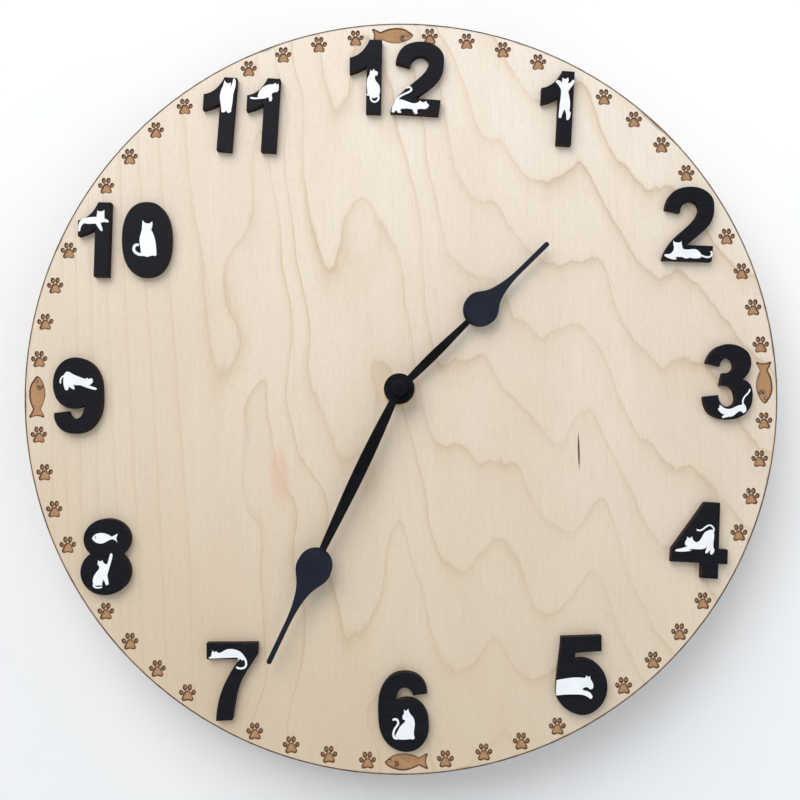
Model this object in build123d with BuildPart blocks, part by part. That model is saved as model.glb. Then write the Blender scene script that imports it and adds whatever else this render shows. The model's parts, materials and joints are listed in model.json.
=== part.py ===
"""Round wooden wall clock: a plywood dial with raised numerals, two hands and a quartz movement."""
import os
from math import acos, cos, pi, radians, sin, tan

from build123d import *

os.makedirs("parts", exist_ok=True)

# ---------------------------------------------------------------- driving dimensions, millimetres
# Y is depth: the wall is at 0 and everything stands in front of it, towards -Y. X is right, Z is up.
DIAL_RADIUS = 150.0
BOARD_THICKNESS = 6.0
NUMERAL_THICKNESS = 3.0
NUMERAL_EDGE = 0.2           # chamfer round the front of a numeral
INLAY_DEPTH = 0.6            # how deep a white figure is let into its numeral
INLAY_PROUD = 0.1            # how far it stands out of the face
MARK_RING_RADIUS = 145.0     # the engraved paws and fish
MARK_DEPTH = 0.35            # how deep they are engraved

CASE_SIZE = 56.0             # the movement is square
CASE_DEPTH = 16.0
CASE_CORNER = 2.5
CASE_WALL = 1.2
CHAMBER_FLOOR = -10.8        # the wheels are above this height, the battery bay is below it
BAY_TOP = -12.0
COVER_DEPTH = 3.0            # the back cover's share of the case depth
COVER_WALL = 1.5

HANGER_SHEET = 0.8
RUBBER_THICKNESS = 0.7
WASHER_THICKNESS = 0.5
WASHER_RADIUS = 6.35
NUT_THICKNESS = 2.0
BUSHING_RADIUS = 4.0
HOUR_TUBE_RADIUS = 2.5
ARBOR_RADIUS = 1.6
ARBOR_TIP_RADIUS = 1.4
RUNNING_GAP = 0.05           # radial clearance of a shaft in its hole

HUB_RADIUS = 6.0
HAND_THICKNESS = 0.5
HOUR_HAND_LENGTH = 83.0
HOUR_HAND_ANGLE = 46.6       # degrees clockwise from 12
MINUTE_HAND_LENGTH = 117.4
MINUTE_HAND_ANGLE = 206.5

# depths that follow from the stack
CASE_FRONT = -CASE_DEPTH
HANGER_FRONT = CASE_FRONT - HANGER_SHEET
BOARD_BACK = HANGER_FRONT - RUBBER_THICKNESS
BOARD_FRONT = BOARD_BACK - BOARD_THICKNESS
WASHER_FRONT = BOARD_FRONT - WASHER_THICKNESS
NUT_FRONT = WASHER_FRONT - NUT_THICKNESS
BUSHING_FRONT = NUT_FRONT - 0.6
HOUR_HAND_BACK = BUSHING_FRONT - 0.8
HOUR_TUBE_FRONT = HOUR_HAND_BACK - HAND_THICKNESS - 0.2
MINUTE_HAND_BACK = HOUR_TUBE_FRONT - 1.9
MINUTE_HAND_FRONT = MINUTE_HAND_BACK - HAND_THICKNESS
CAP_FRONT = MINUTE_HAND_FRONT - 2.6
ARBOR_FRONT = MINUTE_HAND_FRONT - 1.7
CHAMBER_FRONT = CASE_FRONT + 1.4

# the wheels: depths of their back and front faces
HOUR_WHEEL_LAYER = (-13.4, -14.3)
CANNON_LAYER = (-12.2, -13.2)
MOTION_LAYER = (-12.3, -13.1)
CENTRE_LAYER = (-11.4, -12.0)
THIRD_PINION_LAYER = (-11.2, -12.2)
PLATE_LAYER = (-9.8, -11.0)
THIRD_LAYER = (-9.0, -9.6)
SECOND_PINION_LAYER = (-8.9, -9.7)
SECOND_LAYER = (-7.9, -8.5)
INTERMEDIATE_PINION_LAYER = (-7.7, -8.7)
INTERMEDIATE_LAYER = (-6.7, -7.3)
ROTOR_PINION_LAYER = (-6.5, -7.5)
MAGNET_LAYER = (-3.9, -6.0)
STATOR_LAYER = (-4.4, -5.4)
CORE_LAYER = (-3.4, -4.4)
BOSS_FRONT = -3.1            # rear bearings on the back cover

# tooth counts, modules and the distances between the axes
PRESSURE_ANGLE = radians(25)
PLAY = 0.12                  # a tooth is this many modules thinner than its space
WHEEL_TOOTH = (0.7, 1.15)    # addendum and dedendum, in modules
PINION_TOOTH = (0.85, 1.0)
ROTOR_TEETH, INTERMEDIATE_TEETH, ROTOR_MODULE = 8, 48, 0.22
INTERMEDIATE_PINION_TEETH, SECOND_TEETH, SECOND_MODULE = 8, 40, 0.3
SECOND_PINION_TEETH, THIRD_TEETH, THIRD_MODULE = 8, 64, 0.25
THIRD_PINION_TEETH, CENTRE_TEETH = 8, 60
CANNON_TEETH, MOTION_TEETH, MOTION_MODULE = 12, 36, 0.4
MOTION_PINION_TEETH, HOUR_TEETH = 10, 40
KNOB_TEETH = 12
THIRD_DISTANCE = THIRD_MODULE * (SECOND_PINION_TEETH + THIRD_TEETH) / 2
CENTRE_MODULE = 2 * THIRD_DISTANCE / (THIRD_PINION_TEETH + CENTRE_TEETH)
MOTION_DISTANCE = MOTION_MODULE * (CANNON_TEETH + MOTION_TEETH) / 2
HOUR_MODULE = 2 * MOTION_DISTANCE / (MOTION_PINION_TEETH + HOUR_TEETH)
INTERMEDIATE_DISTANCE = SECOND_MODULE * (INTERMEDIATE_PINION_TEETH + SECOND_TEETH) / 2
ROTOR_DISTANCE = ROTOR_MODULE * (ROTOR_TEETH + INTERMEDIATE_TEETH) / 2
KNOB_DISTANCE = MOTION_MODULE * (KNOB_TEETH + MOTION_TEETH) / 2

# directions from one axis to the next, degrees anticlockwise from +X
THIRD_DIRECTION = 150.0
MOTION_DIRECTION = 30.0
KNOB_DIRECTION = 60.0
INTERMEDIATE_DIRECTION = -20.0
ROTOR_DIRECTION = -10.0


def step_from(axis, distance, direction):
    """The point at a distance from an axis, in a direction."""
    return (axis[0] + distance * cos(radians(direction)), axis[1] + distance * sin(radians(direction)))


HAND_AXIS = (0.0, 0.0)
THIRD_AXIS = step_from(HAND_AXIS, THIRD_DISTANCE, THIRD_DIRECTION)
MOTION_AXIS = step_from(HAND_AXIS, MOTION_DISTANCE, MOTION_DIRECTION)
KNOB_AXIS = step_from(MOTION_AXIS, KNOB_DISTANCE, KNOB_DIRECTION)
INTERMEDIATE_AXIS = step_from(HAND_AXIS, INTERMEDIATE_DISTANCE, INTERMEDIATE_DIRECTION)
ROTOR_AXIS = step_from(INTERMEDIATE_AXIS, ROTOR_DISTANCE, ROTOR_DIRECTION)
PLATE_PILLARS = [(-15.5, -8.5), (-15.5, 8.0), (18.5, -8.5), (18.5, 7.5)]
BOARD_POSTS = [(-23.0, 22.0), (-14.0, 22.0)]
REAR_BEARINGS = [THIRD_AXIS, HAND_AXIS, INTERMEDIATE_AXIS, ROTOR_AXIS]

# the battery bay
BATTERY_RADIUS = 7.1
BATTERY_HEIGHT = -19.6
BATTERY_DEPTH = -8.2
BATTERY_ENDS = (-25.0, 24.5)
BATTERY_NUB = (2.7, 1.0)     # radius and length of the positive end
BAY_HALF_LENGTH = 27.2
BAY_FLOOR = -27.3
CONTACT_SHEET = 0.4

# the coil
COIL_X = 23.0
COIL_ENDS = (-6.5, 9.5)
COIL_RADIUS = 2.1
COIL_DEPTH = sum(CORE_LAYER) / 2
CORE_ENDS = (-9.6, 12.5)
CORE_WIDTH = 2.0


# ---------------------------------------------------------------- helpers
def facing(depth):
    """The plane at a depth, seen from the front: X right, Z up, extruded towards the viewer."""
    return Plane(origin=(0, depth, 0), x_dir=(1, 0, 0), z_dir=(0, -1, 0))


def tilted(centre, depth, tilt):
    """A facing plane with its origin at a place on the dial, turned anticlockwise by tilt degrees."""
    turn = radians(tilt)
    return Plane(origin=(centre[0], depth, centre[1]), x_dir=(cos(turn), 0, sin(turn)), z_dir=(0, -1, 0))


def disc(axis, radius, layer, mode=Mode.ADD):
    """A round slab about an axis, between two depths."""
    with BuildSketch(facing(layer[0])) as profile:
        with Locations(axis):
            Circle(radius)
    extrude(profile.sketch, amount=layer[0] - layer[1], mode=mode)


def slab(left, right, low, high, layer, mode=Mode.ADD):
    """A rectangular slab between two depths, given by its sides."""
    with BuildSketch(facing(layer[0])) as profile:
        with Locations(((left + right) / 2, (low + high) / 2)):
            Rectangle(right - left, high - low)
    extrude(profile.sketch, amount=layer[0] - layer[1], mode=mode)


def close_outline(runs):
    """Draw a closed line: a run of one point is straight, a longer run is one smooth curve."""
    at = runs[-1][-1]
    for run in runs:
        if len(run) == 1:
            Line(at, run[0])
        else:
            Spline(at, *run)
        at = run[-1]


def involute(angle):
    """How far an involute has turned from its base circle at a pressure angle."""
    return tan(angle) - angle


def toothed_disc(axis, teeth, module, tooth, layer, turn=0.0):
    """A spur gear with involute flanks, which run straight to the root inside the base circle."""
    pitch = module * teeth / 2
    base = pitch * cos(PRESSURE_ANGLE)
    tip = pitch + tooth[0] * module
    root = pitch - tooth[1] * module
    half_tooth = (pi / 2 - PLAY) / teeth + involute(PRESSURE_ANGLE)
    start = max(root, base)
    flank = []
    for step in range(4):
        radius = start + (tip - start) * step / 3
        flank.append((radius, half_tooth - involute(acos(base / radius))))
    if root < base:
        flank.insert(0, (root, flank[0][1]))
    corners = []
    for index in range(teeth):
        centre = radians(turn) + 2 * pi * index / teeth
        corners += [(radius * cos(centre - half), radius * sin(centre - half)) for radius, half in flank]
        corners += [(radius * cos(centre + half), radius * sin(centre + half)) for radius,
                    half in flank[::-1]]
    with BuildSketch(facing(layer[0])) as profile:
        with Locations(axis):
            Polygon(*corners, align=None)
    extrude(profile.sketch, amount=layer[0] - layer[1])


def mesh_turn(teeth, turn, mate_teeth, direction):
    """The turn that puts a mate's space on a gear's tooth, for a mate that lies in a direction."""
    return direction + 180 - (turn - direction) * teeth / mate_teeth + 180 / mate_teeth


# ---------------------------------------------------------------- numerals
# Outlines are about the numeral's own centre, upright, as runs for close_outline.
ONE = [
    [(3.2, 15.0)], [(3.6, -15.2)], [(-2.4, -15.2)], [(-2.7, 4.2)], [(-5.8, 2.3), (-9.5, 1.0)],
    [(-9.7, 7.4)], [(-5.7, 9.3), (-3.3, 12.1), (-1.9, 15.0)],
]
TWO = [
    [(-8.6, 8.5), (-6.6, 12.4), (0.5, 15.3), (6.3, 14.3), (9.9, 10.8), (10.5, 7.3), (9.4, 1.5), (5.8, -3.0),
     (-0.1, -8.3)],
    [(10.2, -8.4)], [(9.7, -14.6)], [(-9.8, -14.6)],
    [(-9.4, -12.6), (-8.0, -9.5), (-4.8, -5.2), (0.6, -0.1), (3.6, 3.7), (4.4, 6.2), (3.4, 8.7), (1.1, 9.5),
     (-1.6, 8.3), (-3.1, 4.7)],
    [(-9.0, 5.9)],
]
THREE = [
    [(-6.4, 10.6), (-3.8, 13.4), (0.3, 14.9), (5.3, 14.2), (9.2, 11.2), (10.1, 7.2), (9.0, 3.7),
     (6.5, 0.8)],
    [(9.2, -1.0), (10.1, -5.3), (8.9, -10.3), (5.3, -13.8), (0.3, -14.9), (-4.2, -14.1), (-7.5, -11.8),
     (-8.9, -8.7), (-9.2, -5.6)],
    [(-3.4, -5.1)],
    [(-2.9, -7.8), (-1.5, -9.4), (0.6, -9.7), (2.8, -8.5), (3.2, -5.3), (2.1, -2.4), (0.3, -1.5),
     (-2.6, -1.5)],
    [(-1.3, 3.5)],
    [(1.0, 3.7), (2.8, 4.9), (3.1, 6.9), (2.4, 8.7), (0.6, 9.4), (-1.4, 8.4), (-2.3, 6.2)],
    [(-7.7, 7.7)],
]
FOUR = [
    [(7.9, 15.0)], [(7.9, -3.0)], [(11.4, -3.0)], [(11.4, -8.7)], [(7.9, -8.7)], [(7.9, -14.5)],
    [(1.4, -14.5)], [(1.4, -8.7)], [(-10.5, -8.7)], [(-10.3, -3.7)], [(2.1, 15.0)],
]
FIVE = [
    [(8.5, 15.2)], [(8.3, 9.2)], [(-1.9, 8.7)], [(-2.2, 5.9)],
    [(1.2, 6.5), (5.5, 5.0), (8.7, 1.5), (10.1, -3.5), (9.1, -8.9), (5.5, -13.2), (1.2, -15.0),
     (-3.1, -14.3),
     (-7.4, -11.4), (-9.7, -7.5), (-9.7, -4.0), (-8.5, 5.0), (-7.2, 14.9)],
]
SIX = [
    [(8.4, 10.8), (5.4, 14.0), (1.1, 15.1), (-3.9, 14.1), (-7.4, 10.8), (-9.6, 5.4), (-9.9, -0.6),
     (-9.2, -7.1),
     (-6.4, -12.1), (-1.0, -15.1), (4.7, -14.4), (8.6, -10.3), (9.7, -5.3), (8.6, 0.4), (5.4, 4.0),
     (1.1, 5.1),
     (-2.9, 3.6)],
    [(-2.4, 6.5), (-1.0, 8.6), (1.1, 9.1), (2.9, 7.9), (3.6, 6.1)],
    [(9.2, 6.7)],
]
SEVEN = [
    [(10.0, 14.8)], [(9.8, 10.1)], [(6.2, 4.8), (2.7, -1.3), (0.9, -8.1), (-0.2, -14.7)], [(-6.5, -14.9)],
    [(-5.9, -9.5), (-4.1, -3.1), (-1.3, 2.6), (2.7, 8.6)], [(-10.0, 8.7)], [(-10.0, 15.0)],
]
EIGHT_UPPER = ((0.4, 7.0), (9.2, 8.0))       # centre and half-axes of the ellipse
EIGHT_LOWER = ((-0.2, -5.8), (9.8, 9.0))
ZERO_HALF_AXES = (9.9, 15.2)
ZERO_POINTS = 24
ZERO_SQUARENESS = 2.3        # 2 would be an ellipse, more is squarer


def ring_of_zero():
    """Points right round a superellipse, |x/a|^n + |z/b|^n = 1."""
    points = []
    for step in range(ZERO_POINTS):
        angle = 2 * pi * step / ZERO_POINTS
        across = abs(cos(angle)) ** (2 / ZERO_SQUARENESS) * ZERO_HALF_AXES[0]
        up = abs(sin(angle)) ** (2 / ZERO_SQUARENESS) * ZERO_HALF_AXES[1]
        points.append((across if cos(angle) >= 0 else -across, up if sin(angle) >= 0 else -up))
    return points


def lined_face(runs):
    """The face inside one closed outline."""
    with BuildSketch() as face:
        with BuildLine():
            close_outline(runs)
        make_face()
    return face.sketch


def eight_face():
    """Two ellipses that run into each other."""
    with BuildSketch() as face:
        for centre, half_axes in (EIGHT_UPPER, EIGHT_LOWER):
            with Locations(centre):
                Ellipse(*half_axes)
    return face.sketch


def zero_face():
    """A filled superellipse."""
    with BuildSketch() as face:
        with BuildLine():
            Spline(*ring_of_zero(), periodic=True)
        make_face()
    return face.sketch


# Each white figure: outlines for close_outline, then tails and limbs as (width, points along the middle).
FIGURES = {
    "1": (
        [[
            [(-1.6, 12.1)], [(-0.9, 11.6)], [(-0.1, 11.7)], [(0.6, 12.3)], [(0.9, 10.9), (0.6, 9.8)],
            [(1.7, 10.3), (2.4, 11.5)], [(3.2, 11.2)], [(2.6, 9.1), (1.5, 7.5), (1.1, 6.1)],
            [(1.8, 3.5), (2.1, 1.1), (1.9, -1.7)], [(2.1, -4.7), (1.6, -5.2), (1.0, -4.9)],
            [(0.6, -2.1), (0.1, -0.9)], [(-0.5, -2.1), (-1.0, -4.1)], [(-1.6, -4.6), (-2.2, -4.1)],
            [(-2.1, -1.1), (-2.0, 1.5), (-1.8, 4.5), (-1.9, 7.1)], [(-3.2, 9.1), (-4.3, 10.1)],
            [(-3.8, 10.9)],
            [(-2.4, 10.6), (-1.7, 9.9)],
        ]],
        [],
    ),
    "2": (
        [[
            [(-5.7, -6.8)], [(-5.0, -7.5)], [(-3.1, -7.5)], [(-2.4, -6.9)], [(-2.2, -9.0), (-1.9, -9.9)],
            [(0.4, -10.2), (3.4, -10.1), (5.0, -11.4), (5.6, -12.4)], [(5.3, -13.3)],
            [(2.6, -13.7), (0.9, -13.4)],
            [(-0.6, -13.8), (-2.0, -13.3)], [(-4.8, -13.3)], [(-8.6, -13.4), (-9.2, -12.8), (-8.4, -12.3)],
            [(-6.6, -11.9), (-5.6, -10.6), (-5.7, -8.4)],
        ]],
        [(0.7, [(4.8, -12.3), (6.8, -12.9), (8.7, -12.9), (9.6, -12.0), (9.3, -10.9)])],
    ),
    "3": (
        [[
            [(-3.2, -9.0)], [(-2.4, -9.5)], [(-1.2, -10.4), (0.8, -10.7), (3.0, -9.9), (5.4, -9.2)],
            [(6.6, -9.2), (7.2, -10.6), (7.0, -11.9)], [(5.9, -12.5)], [(5.2, -11.7)],
            [(3.9, -12.0), (2.4, -13.2), (0.6, -13.7)], [(-0.9, -14.0)], [(-2.3, -14.3)], [(-2.4, -13.6)],
            [(-1.2, -12.9)], [(-2.2, -12.6), (-3.2, -11.8), (-3.9, -10.6)], [(-3.2, -9.9)],
        ]],
        [(0.6, [(6.5, -9.6), (6.0, -7.6), (6.9, -5.9), (8.2, -4.6), (8.9, -3.3)])],
    ),
    "4": (
        [[
            [(-4.6, 1.3)], [(-3.9, 0.7)], [(-3.2, 0.9)], [(-2.7, 1.5)],
            [(-2.3, 0.2), (-1.0, -0.7), (0.4, 0.2), (1.6, 2.4), (3.4, 4.0)],
            [(5.2, 4.2), (5.8, 2.2), (5.6, -0.8), (5.9, -3.0)], [(5.4, -4.9), (4.9, -5.2), (4.4, -4.8)],
            [(4.5, -3.4)], [(3.6, -4.4), (2.9, -4.8), (2.5, -4.3)], [(3.3, -2.2)],
            [(1.6, -3.2), (-0.8, -3.4), (-4.0, -3.7)], [(-8.2, -4.7), (-9.1, -4.4), (-8.6, -3.8)],
            [(-6.0, -3.1), (-4.4, -2.4)], [(-5.4, -1.6), (-5.2, -0.4), (-4.7, 0.3)],
        ]],
        [(0.6, [(5.2, 3.4), (5.4, 5.2), (4.2, 6.1), (2.4, 5.3), (0.6, 4.0), (-0.8, 4.1)])],
    ),
    "5": (
        [[
            [(-10.6, -1.9)], [(-8.6, -1.3)], [(-5.0, -0.8), (-1.0, -0.6), (1.5, -0.9)], [(2.1, 0.1)],
            [(2.8, -0.6)],
            [(3.5, -0.1)], [(3.8, -1.6), (4.6, -3.4), (4.2, -5.0), (2.9, -4.9)],
            [(1.4, -4.4), (0.5, -4.9), (1.4, -5.7)],
            [(3.2, -6.4), (4.2, -8.0)], [(3.6, -8.8), (2.8, -8.4)], [(1.2, -7.5), (-0.8, -7.1)],
            [(-4.8, -7.0), (-10.6, -7.4)],
        ]],
        [],
    ),
    "6": (
        [[
            [(0.2, 0.9)], [(0.9, 0.3)], [(1.9, 1.2)], [(2.3, -0.4), (3.6, -2.1), (4.2, -4.9), (3.8, -7.9),
                                                        (4.1, -9.9)],
            [(3.6, -10.5)], [(2.4, -10.3)], [(0.4, -10.5), (-2.2, -10.3)],
            [(-3.4, -9.9), (-2.7, -7.7), (-1.2, -5.3), (0.4, -3.9)], [(0.5, -3.1)],
            [(-0.4, -2.6), (-0.5, -1.8), (0.1, -0.8)],
        ]],
        [(0.8, [(-2.4, -9.9), (-3.8, -9.7), (-4.1, -8.1), (-3.2, -5.9), (-2.2, -4.3), (-2.6, -3.0),
                (-4.0, -2.9)])],
    ),
    "7": (
        [[
            [(-7.6, 12.2)], [(-7.0, 11.4)], [(-6.2, 11.9)],
            [(-5.4, 11.2), (-2.7, 12.2), (1.0, 12.4), (3.8, 11.0), (5.0, 8.8)], [(4.2, 8.2), (3.0, 9.0)],
            [(1.6, 9.3)],
            [(-4.0, 9.2), (-8.6, 9.1)], [(-9.3, 9.5)], [(-8.2, 10.0), (-8.0, 10.9)],
        ]],
        [
            (0.75, [(4.0, 9.8), (5.4, 7.6), (5.2, 5.8), (3.6, 5.1), (1.9, 5.5)]),
            (0.7, [(3.0, 9.3), (1.9, 8.0), (0.9, 7.3)]),
        ],
    ),
    "8": (
        [
            [
                [(-2.9, -1.1)], [(-2.2, -1.7)], [(-1.2, -1.2)], [(-0.5, -2.4), (0.7, -2.8)], [(1.7, 0.8)],
                [(2.2, 1.5), (2.8, 0.8)], [(2.0, -2.6), (1.2, -5.2), (0.7, -7.0)], [(1.3, -10.6)],
                [(0.2, -10.9)],
                [(-0.7, -8.6)], [(-1.4, -10.2)], [(-1.2, -10.9)], [(-4.4, -11.0)],
                [(-4.8, -8.0), (-3.4, -5.6), (-2.5, -4.4), (-3.1, -2.8)],
            ],
            [
                [(-3.9, 9.0), (-1.2, 9.4), (2.4, 7.9)], [(4.9, 9.1)], [(4.2, 7.4)], [(4.6, 5.6)],
                [(2.4, 6.9), (-1.2, 5.4), (-3.9, 5.9), (-5.3, 7.4)],
            ],
        ],
        [(0.6, [(-4.4, -10.0), (-4.5, -11.3), (-3.0, -11.8), (-1.6, -11.6)])],
    ),
    "9": (
        [[
            [(-3.6, 9.6), (-2.2, 8.9), (1.0, 7.4), (3.4, 6.5)], [(3.9, 7.0)], [(4.6, 6.5)], [(5.9, 6.8)],
            [(6.3, 5.4), (5.7, 4.6)], [(4.9, 3.9)], [(7.4, 3.0)], [(7.9, 2.5), (7.3, 2.1)],
            [(4.4, 2.9), (1.4, 4.1)],
            [(-0.8, 4.2), (-2.2, 4.3)], [(-1.0, 3.2), (-1.0, 2.6), (-1.6, 2.6)], [(-3.4, 3.7)],
            [(-3.4, 2.6)],
            [(-4.2, 2.2), (-4.8, 2.6)], [(-5.4, 5.0), (-5.2, 8.2)],
        ]],
        [(0.6, [(-4.2, 8.2), (-6.2, 7.2), (-6.6, 5.2)])],
    ),
    "10_one": (
        [[
            [(-1.9, 11.6)], [(-1.3, 11.1)], [(0.1, 11.2)], [(0.8, 11.8)], [(1.0, 8.4)],
            [(2.5, 7.6), (2.8, 7.2), (2.5, 6.8)], [(0.8, 6.9)], [(-0.5, 6.5)], [(0.5, 3.8)],
            [(0.2, 3.2), (-0.4, 3.4)],
            [(-2.5, 6.2)], [(-5.0, 6.0)], [(-7.2, 6.2)], [(-8.2, 4.8), (-8.5, 3.0)], [(-9.2, 2.8)],
            [(-9.3, 5.2), (-8.6, 7.2), (-6.4, 8.4), (-2.2, 8.9)],
        ]],
        [],
    ),
    "10_zero": (
        [[
            [(-1.5, 7.7)], [(-0.4, 6.5)], [(1.2, 6.3)], [(2.4, 7.1)], [(2.4, 5.2), (1.9, 3.8)],
            [(3.1, 1.2), (3.8, -2.4), (4.1, -6.4)], [(3.5, -7.0)], [(2.1, -6.7), (0.7, -7.1), (-0.7, -6.8)],
            [(-2.1, -6.7)], [(-2.4, -3.4), (-2.7, 0.2), (-1.9, 3.4), (-1.7, 5.2)],
        ]],
        [(1.1, [(-1.5, -6.1), (-3.9, -5.6), (-5.0, -4.2), (-4.6, -2.6), (-3.5, -2.2)])],
    ),
    "11_left": (
        [[
            [(-1.7, 13.6)], [(-1.0, 12.6)], [(0.3, 12.3)], [(0.9, 13.0)], [(0.9, 11.2), (0.6, 10.2)],
            [(1.4, 12.0), (1.7, 14.2)], [(2.1, 14.6), (2.6, 14.2)],
            [(2.9, 11.4), (2.4, 8.6), (2.3, 5.2), (2.0, 1.8)],
            [(1.8, 0.6), (1.0, 0.3), (0.4, 0.7)], [(0.1, 1.3)], [(-0.4, 0.6), (-1.2, 0.3), (-1.8, 0.7)],
            [(-2.2, 3.0), (-2.9, 6.2), (-2.8, 9.0), (-2.1, 11.0)],
        ]],
        [],
    ),
    "11_right": (
        [[
            [(-4.9, 9.0), (-4.0, 10.4), (-2.2, 11.8), (0.6, 12.4)], [(1.3, 13.1)], [(1.9, 12.4)],
            [(2.7, 12.8)],
            [(2.9, 11.2), (2.7, 9.8), (1.6, 9.3)], [(0.4, 8.8)], [(0.2, 7.4)],
            [(0.4, 5.8), (0.0, 5.3), (-0.5, 5.6)],
            [(-1.0, 7.2)], [(-2.4, 6.4)], [(-4.4, 6.1)], [(-5.2, 6.9), (-5.1, 8.2)],
        ]],
        [(0.7, [(-4.4, 6.5), (-6.2, 6.2), (-8.0, 6.3)])],
    ),
    "12_one": (
        [[
            [(-1.0, 2.4)], [(-0.4, 1.8)], [(0.3, 2.8)], [(0.8, 1.9)], [(1.9, 1.1), (1.8, 0.4), (0.9, 0.0)],
            [(0.9, -1.6), (2.5, -3.8), (3.0, -6.6), (2.4, -8.8)], [(0.4, -9.3)], [(-1.9, -7.9)],
            [(-2.3, -4.6), (-2.3, -1.8), (-1.5, 0.2)],
        ]],
        [(0.7, [(-2.0, -7.9), (-0.8, -8.4), (-0.4, -10.0), (1.0, -10.8), (2.3, -10.0), (2.5, -8.6)])],
    ),
    "12_two": (
        [[
            [(-7.0, -9.4), (-3.0, -10.0), (1.4, -9.8)], [(2.0, -9.2)], [(2.6, -9.8)], [(3.6, -9.8)],
            [(4.4, -9.2)],
            [(4.8, -10.2)], [(5.6, -11.0), (4.9, -12.1), (3.2, -12.5)], [(1.3, -12.7)], [(0.9, -13.8)],
            [(1.2, -14.4), (0.6, -14.7), (-0.2, -14.4)], [(-1.0, -13.0)], [(-3.2, -12.8), (-5.4, -13.1)],
            [(-6.0, -13.8)], [(-5.4, -14.6), (-6.2, -14.9), (-6.9, -14.4)], [(-7.5, -13.6)],
            [(-8.1, -14.6)],
            [(-9.2, -14.6)], [(-9.0, -12.2), (-8.2, -10.4)],
        ]],
        [(0.75, [(-8.0, -10.6), (-6.8, -8.6), (-4.8, -7.0), (-2.9, -6.0), (-1.9, -4.8), (-2.7, -3.9),
                 (-3.6, -4.2)])],
    ),
}
FISH_EYE = ((-4.0, 7.8), 0.3)    # centre and radius, on the white fish

# name of the piece, its face, its figure, its place on the dial and how it is turned
NUMERALS = [
    ("1", lined_face(ONE), "1", (68.6, 112.3), -5.4),
    ("2", lined_face(TWO), "2", (116.2, 63.6), -3.0),
    ("3", lined_face(THREE), "3", (129.0, 0.4), 0.0),
    ("4", lined_face(FOUR), "4", (115.7, -61.4), -4.0),
    ("5", lined_face(FIVE), "5", (68.2, -112.5), 0.0),
    ("6", lined_face(SIX), "6", (-0.7, -125.1), 0.0),
    ("7", lined_face(SEVEN), "7", (-67.0, -112.6), 0.0),
    ("8", eight_face(), "8", (-116.4, -63.7), 0.0),
    ("9", lined_face(SIX).rotate(Axis.Z, 180), "9", (-127.8, 0.0), 0.0),
    ("10_one", lined_face(ONE), "10_one", (-118.3, 62.7), -2.6),
    ("10_zero", zero_face(), "10_zero", (-100.1, 62.2), 0.0),
    ("11_left", lined_face(ONE), "11_left", (-67.9, 112.9), -5.7),
    ("11_right", lined_face(ONE), "11_right", (-50.2, 112.1), -5.0),
    ("12_one", lined_face(ONE), "12_one", (-8.2, 127.1), -2.8),
    ("12_two", lined_face(TWO), "12_two", (9.5, 125.7), -5.0),
]


def figure_face(name, numeral_face):
    """A white figure, cut off where it would run over its numeral's edge."""
    outlines, strokes = FIGURES[name]
    with BuildSketch() as figure:
        for runs in outlines:
            with BuildLine():
                close_outline(runs)
            make_face()
        for width, points in strokes:
            with BuildLine():
                Spline(*points)
            trace(line_width=width)
            with Locations(points[0], points[-1]):
                Circle(width / 2)
        if name == "8":
            with Locations(FISH_EYE[0]):
                Circle(FISH_EYE[1], mode=Mode.SUBTRACT)
        add(numeral_face, mode=Mode.INTERSECT)
    return figure.sketch


NUMERAL_FRONT = BOARD_FRONT - NUMERAL_THICKNESS
for name, numeral_face, figure_name, centre, tilt in NUMERALS:
    white_face = figure_face(figure_name, numeral_face)

    with BuildPart() as numeral:
        with BuildSketch(tilted(centre, BOARD_FRONT, tilt)):
            add(numeral_face)
        extrude(amount=NUMERAL_THICKNESS)
        chamfer(numeral.faces().sort_by(Axis.Y)[0].edges(), NUMERAL_EDGE)
        with BuildSketch(tilted(centre, NUMERAL_FRONT, tilt)):
            add(white_face)
        extrude(amount=-INLAY_DEPTH, mode=Mode.SUBTRACT)
    numeral.part.label = f"numeral_{name}"
    export_step(numeral.part, f"parts/numeral_{name}.step")

    with BuildPart() as figure:
        with BuildSketch(tilted(centre, NUMERAL_FRONT + INLAY_DEPTH, tilt)):
            add(white_face)
        extrude(amount=INLAY_DEPTH + INLAY_PROUD)
    figure.part.label = f"white_figure_{name}"
    export_step(figure.part, f"parts/white_figure_{name}.step")


# ---------------------------------------------------------------- dial
# A paw: four toes (place, half-axes, turn) over a pad, about the paw's centre.
TOES = [((-2.4, 0.15), (0.82, 1.02), 18), ((-0.96, 2.1), (0.82, 1.18), 6),
        ((0.96, 2.1), (0.82, 1.18), -6), ((2.4, 0.15), (0.82, 1.02), -18)]
PAD = [(0.0, 0.8), (0.85, 0.6), (1.35, -0.2), (1.8, -1.2), (2.25, -2.1), (2.1, -2.85), (1.4, -3.15),
       (0.0, -2.75), (-1.4, -3.15), (-2.1, -2.85), (-2.25, -2.1), (-1.8, -1.2), (-1.35, -0.2), (-0.85, 0.6)]
FISH = [
    [(-2.3, 2.6), (0.6, 3.1), (3.4, 2.95), (5.6, 2.2), (7.2, 1.1), (8.3, 0.0), (7.2, -1.5), (5.4, -2.5),
     (3.4, -3.1), (0.6, -3.3), (-2.3, -2.6), (-4.9, -1.5)],
    [(-7.9, -3.0)], [(-8.4, -2.6)], [(-7.6, 0.0), (-8.4, 2.6)], [(-7.9, 3.1)], [(-4.9, 1.5)],
]
# The eye and the gill cover are left standing in the fish.
EYE = ((6.3, 0.35), 0.4)
GILL = (0.28, [(4.6, -0.2), (3.8, -0.2), (3.3, -0.9), (3.7, -1.6), (4.5, -1.6)])
HOURS = 12
MINUTES = 60
# The head of the fish points right at 12, down at 3 and up at 9, with its back outwards.
FISH_PLACES = {0: 0, 3: -90, 9: 90}
FLIPPED_FISH = 6             # at this hour its head points left, and its back is up


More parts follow.
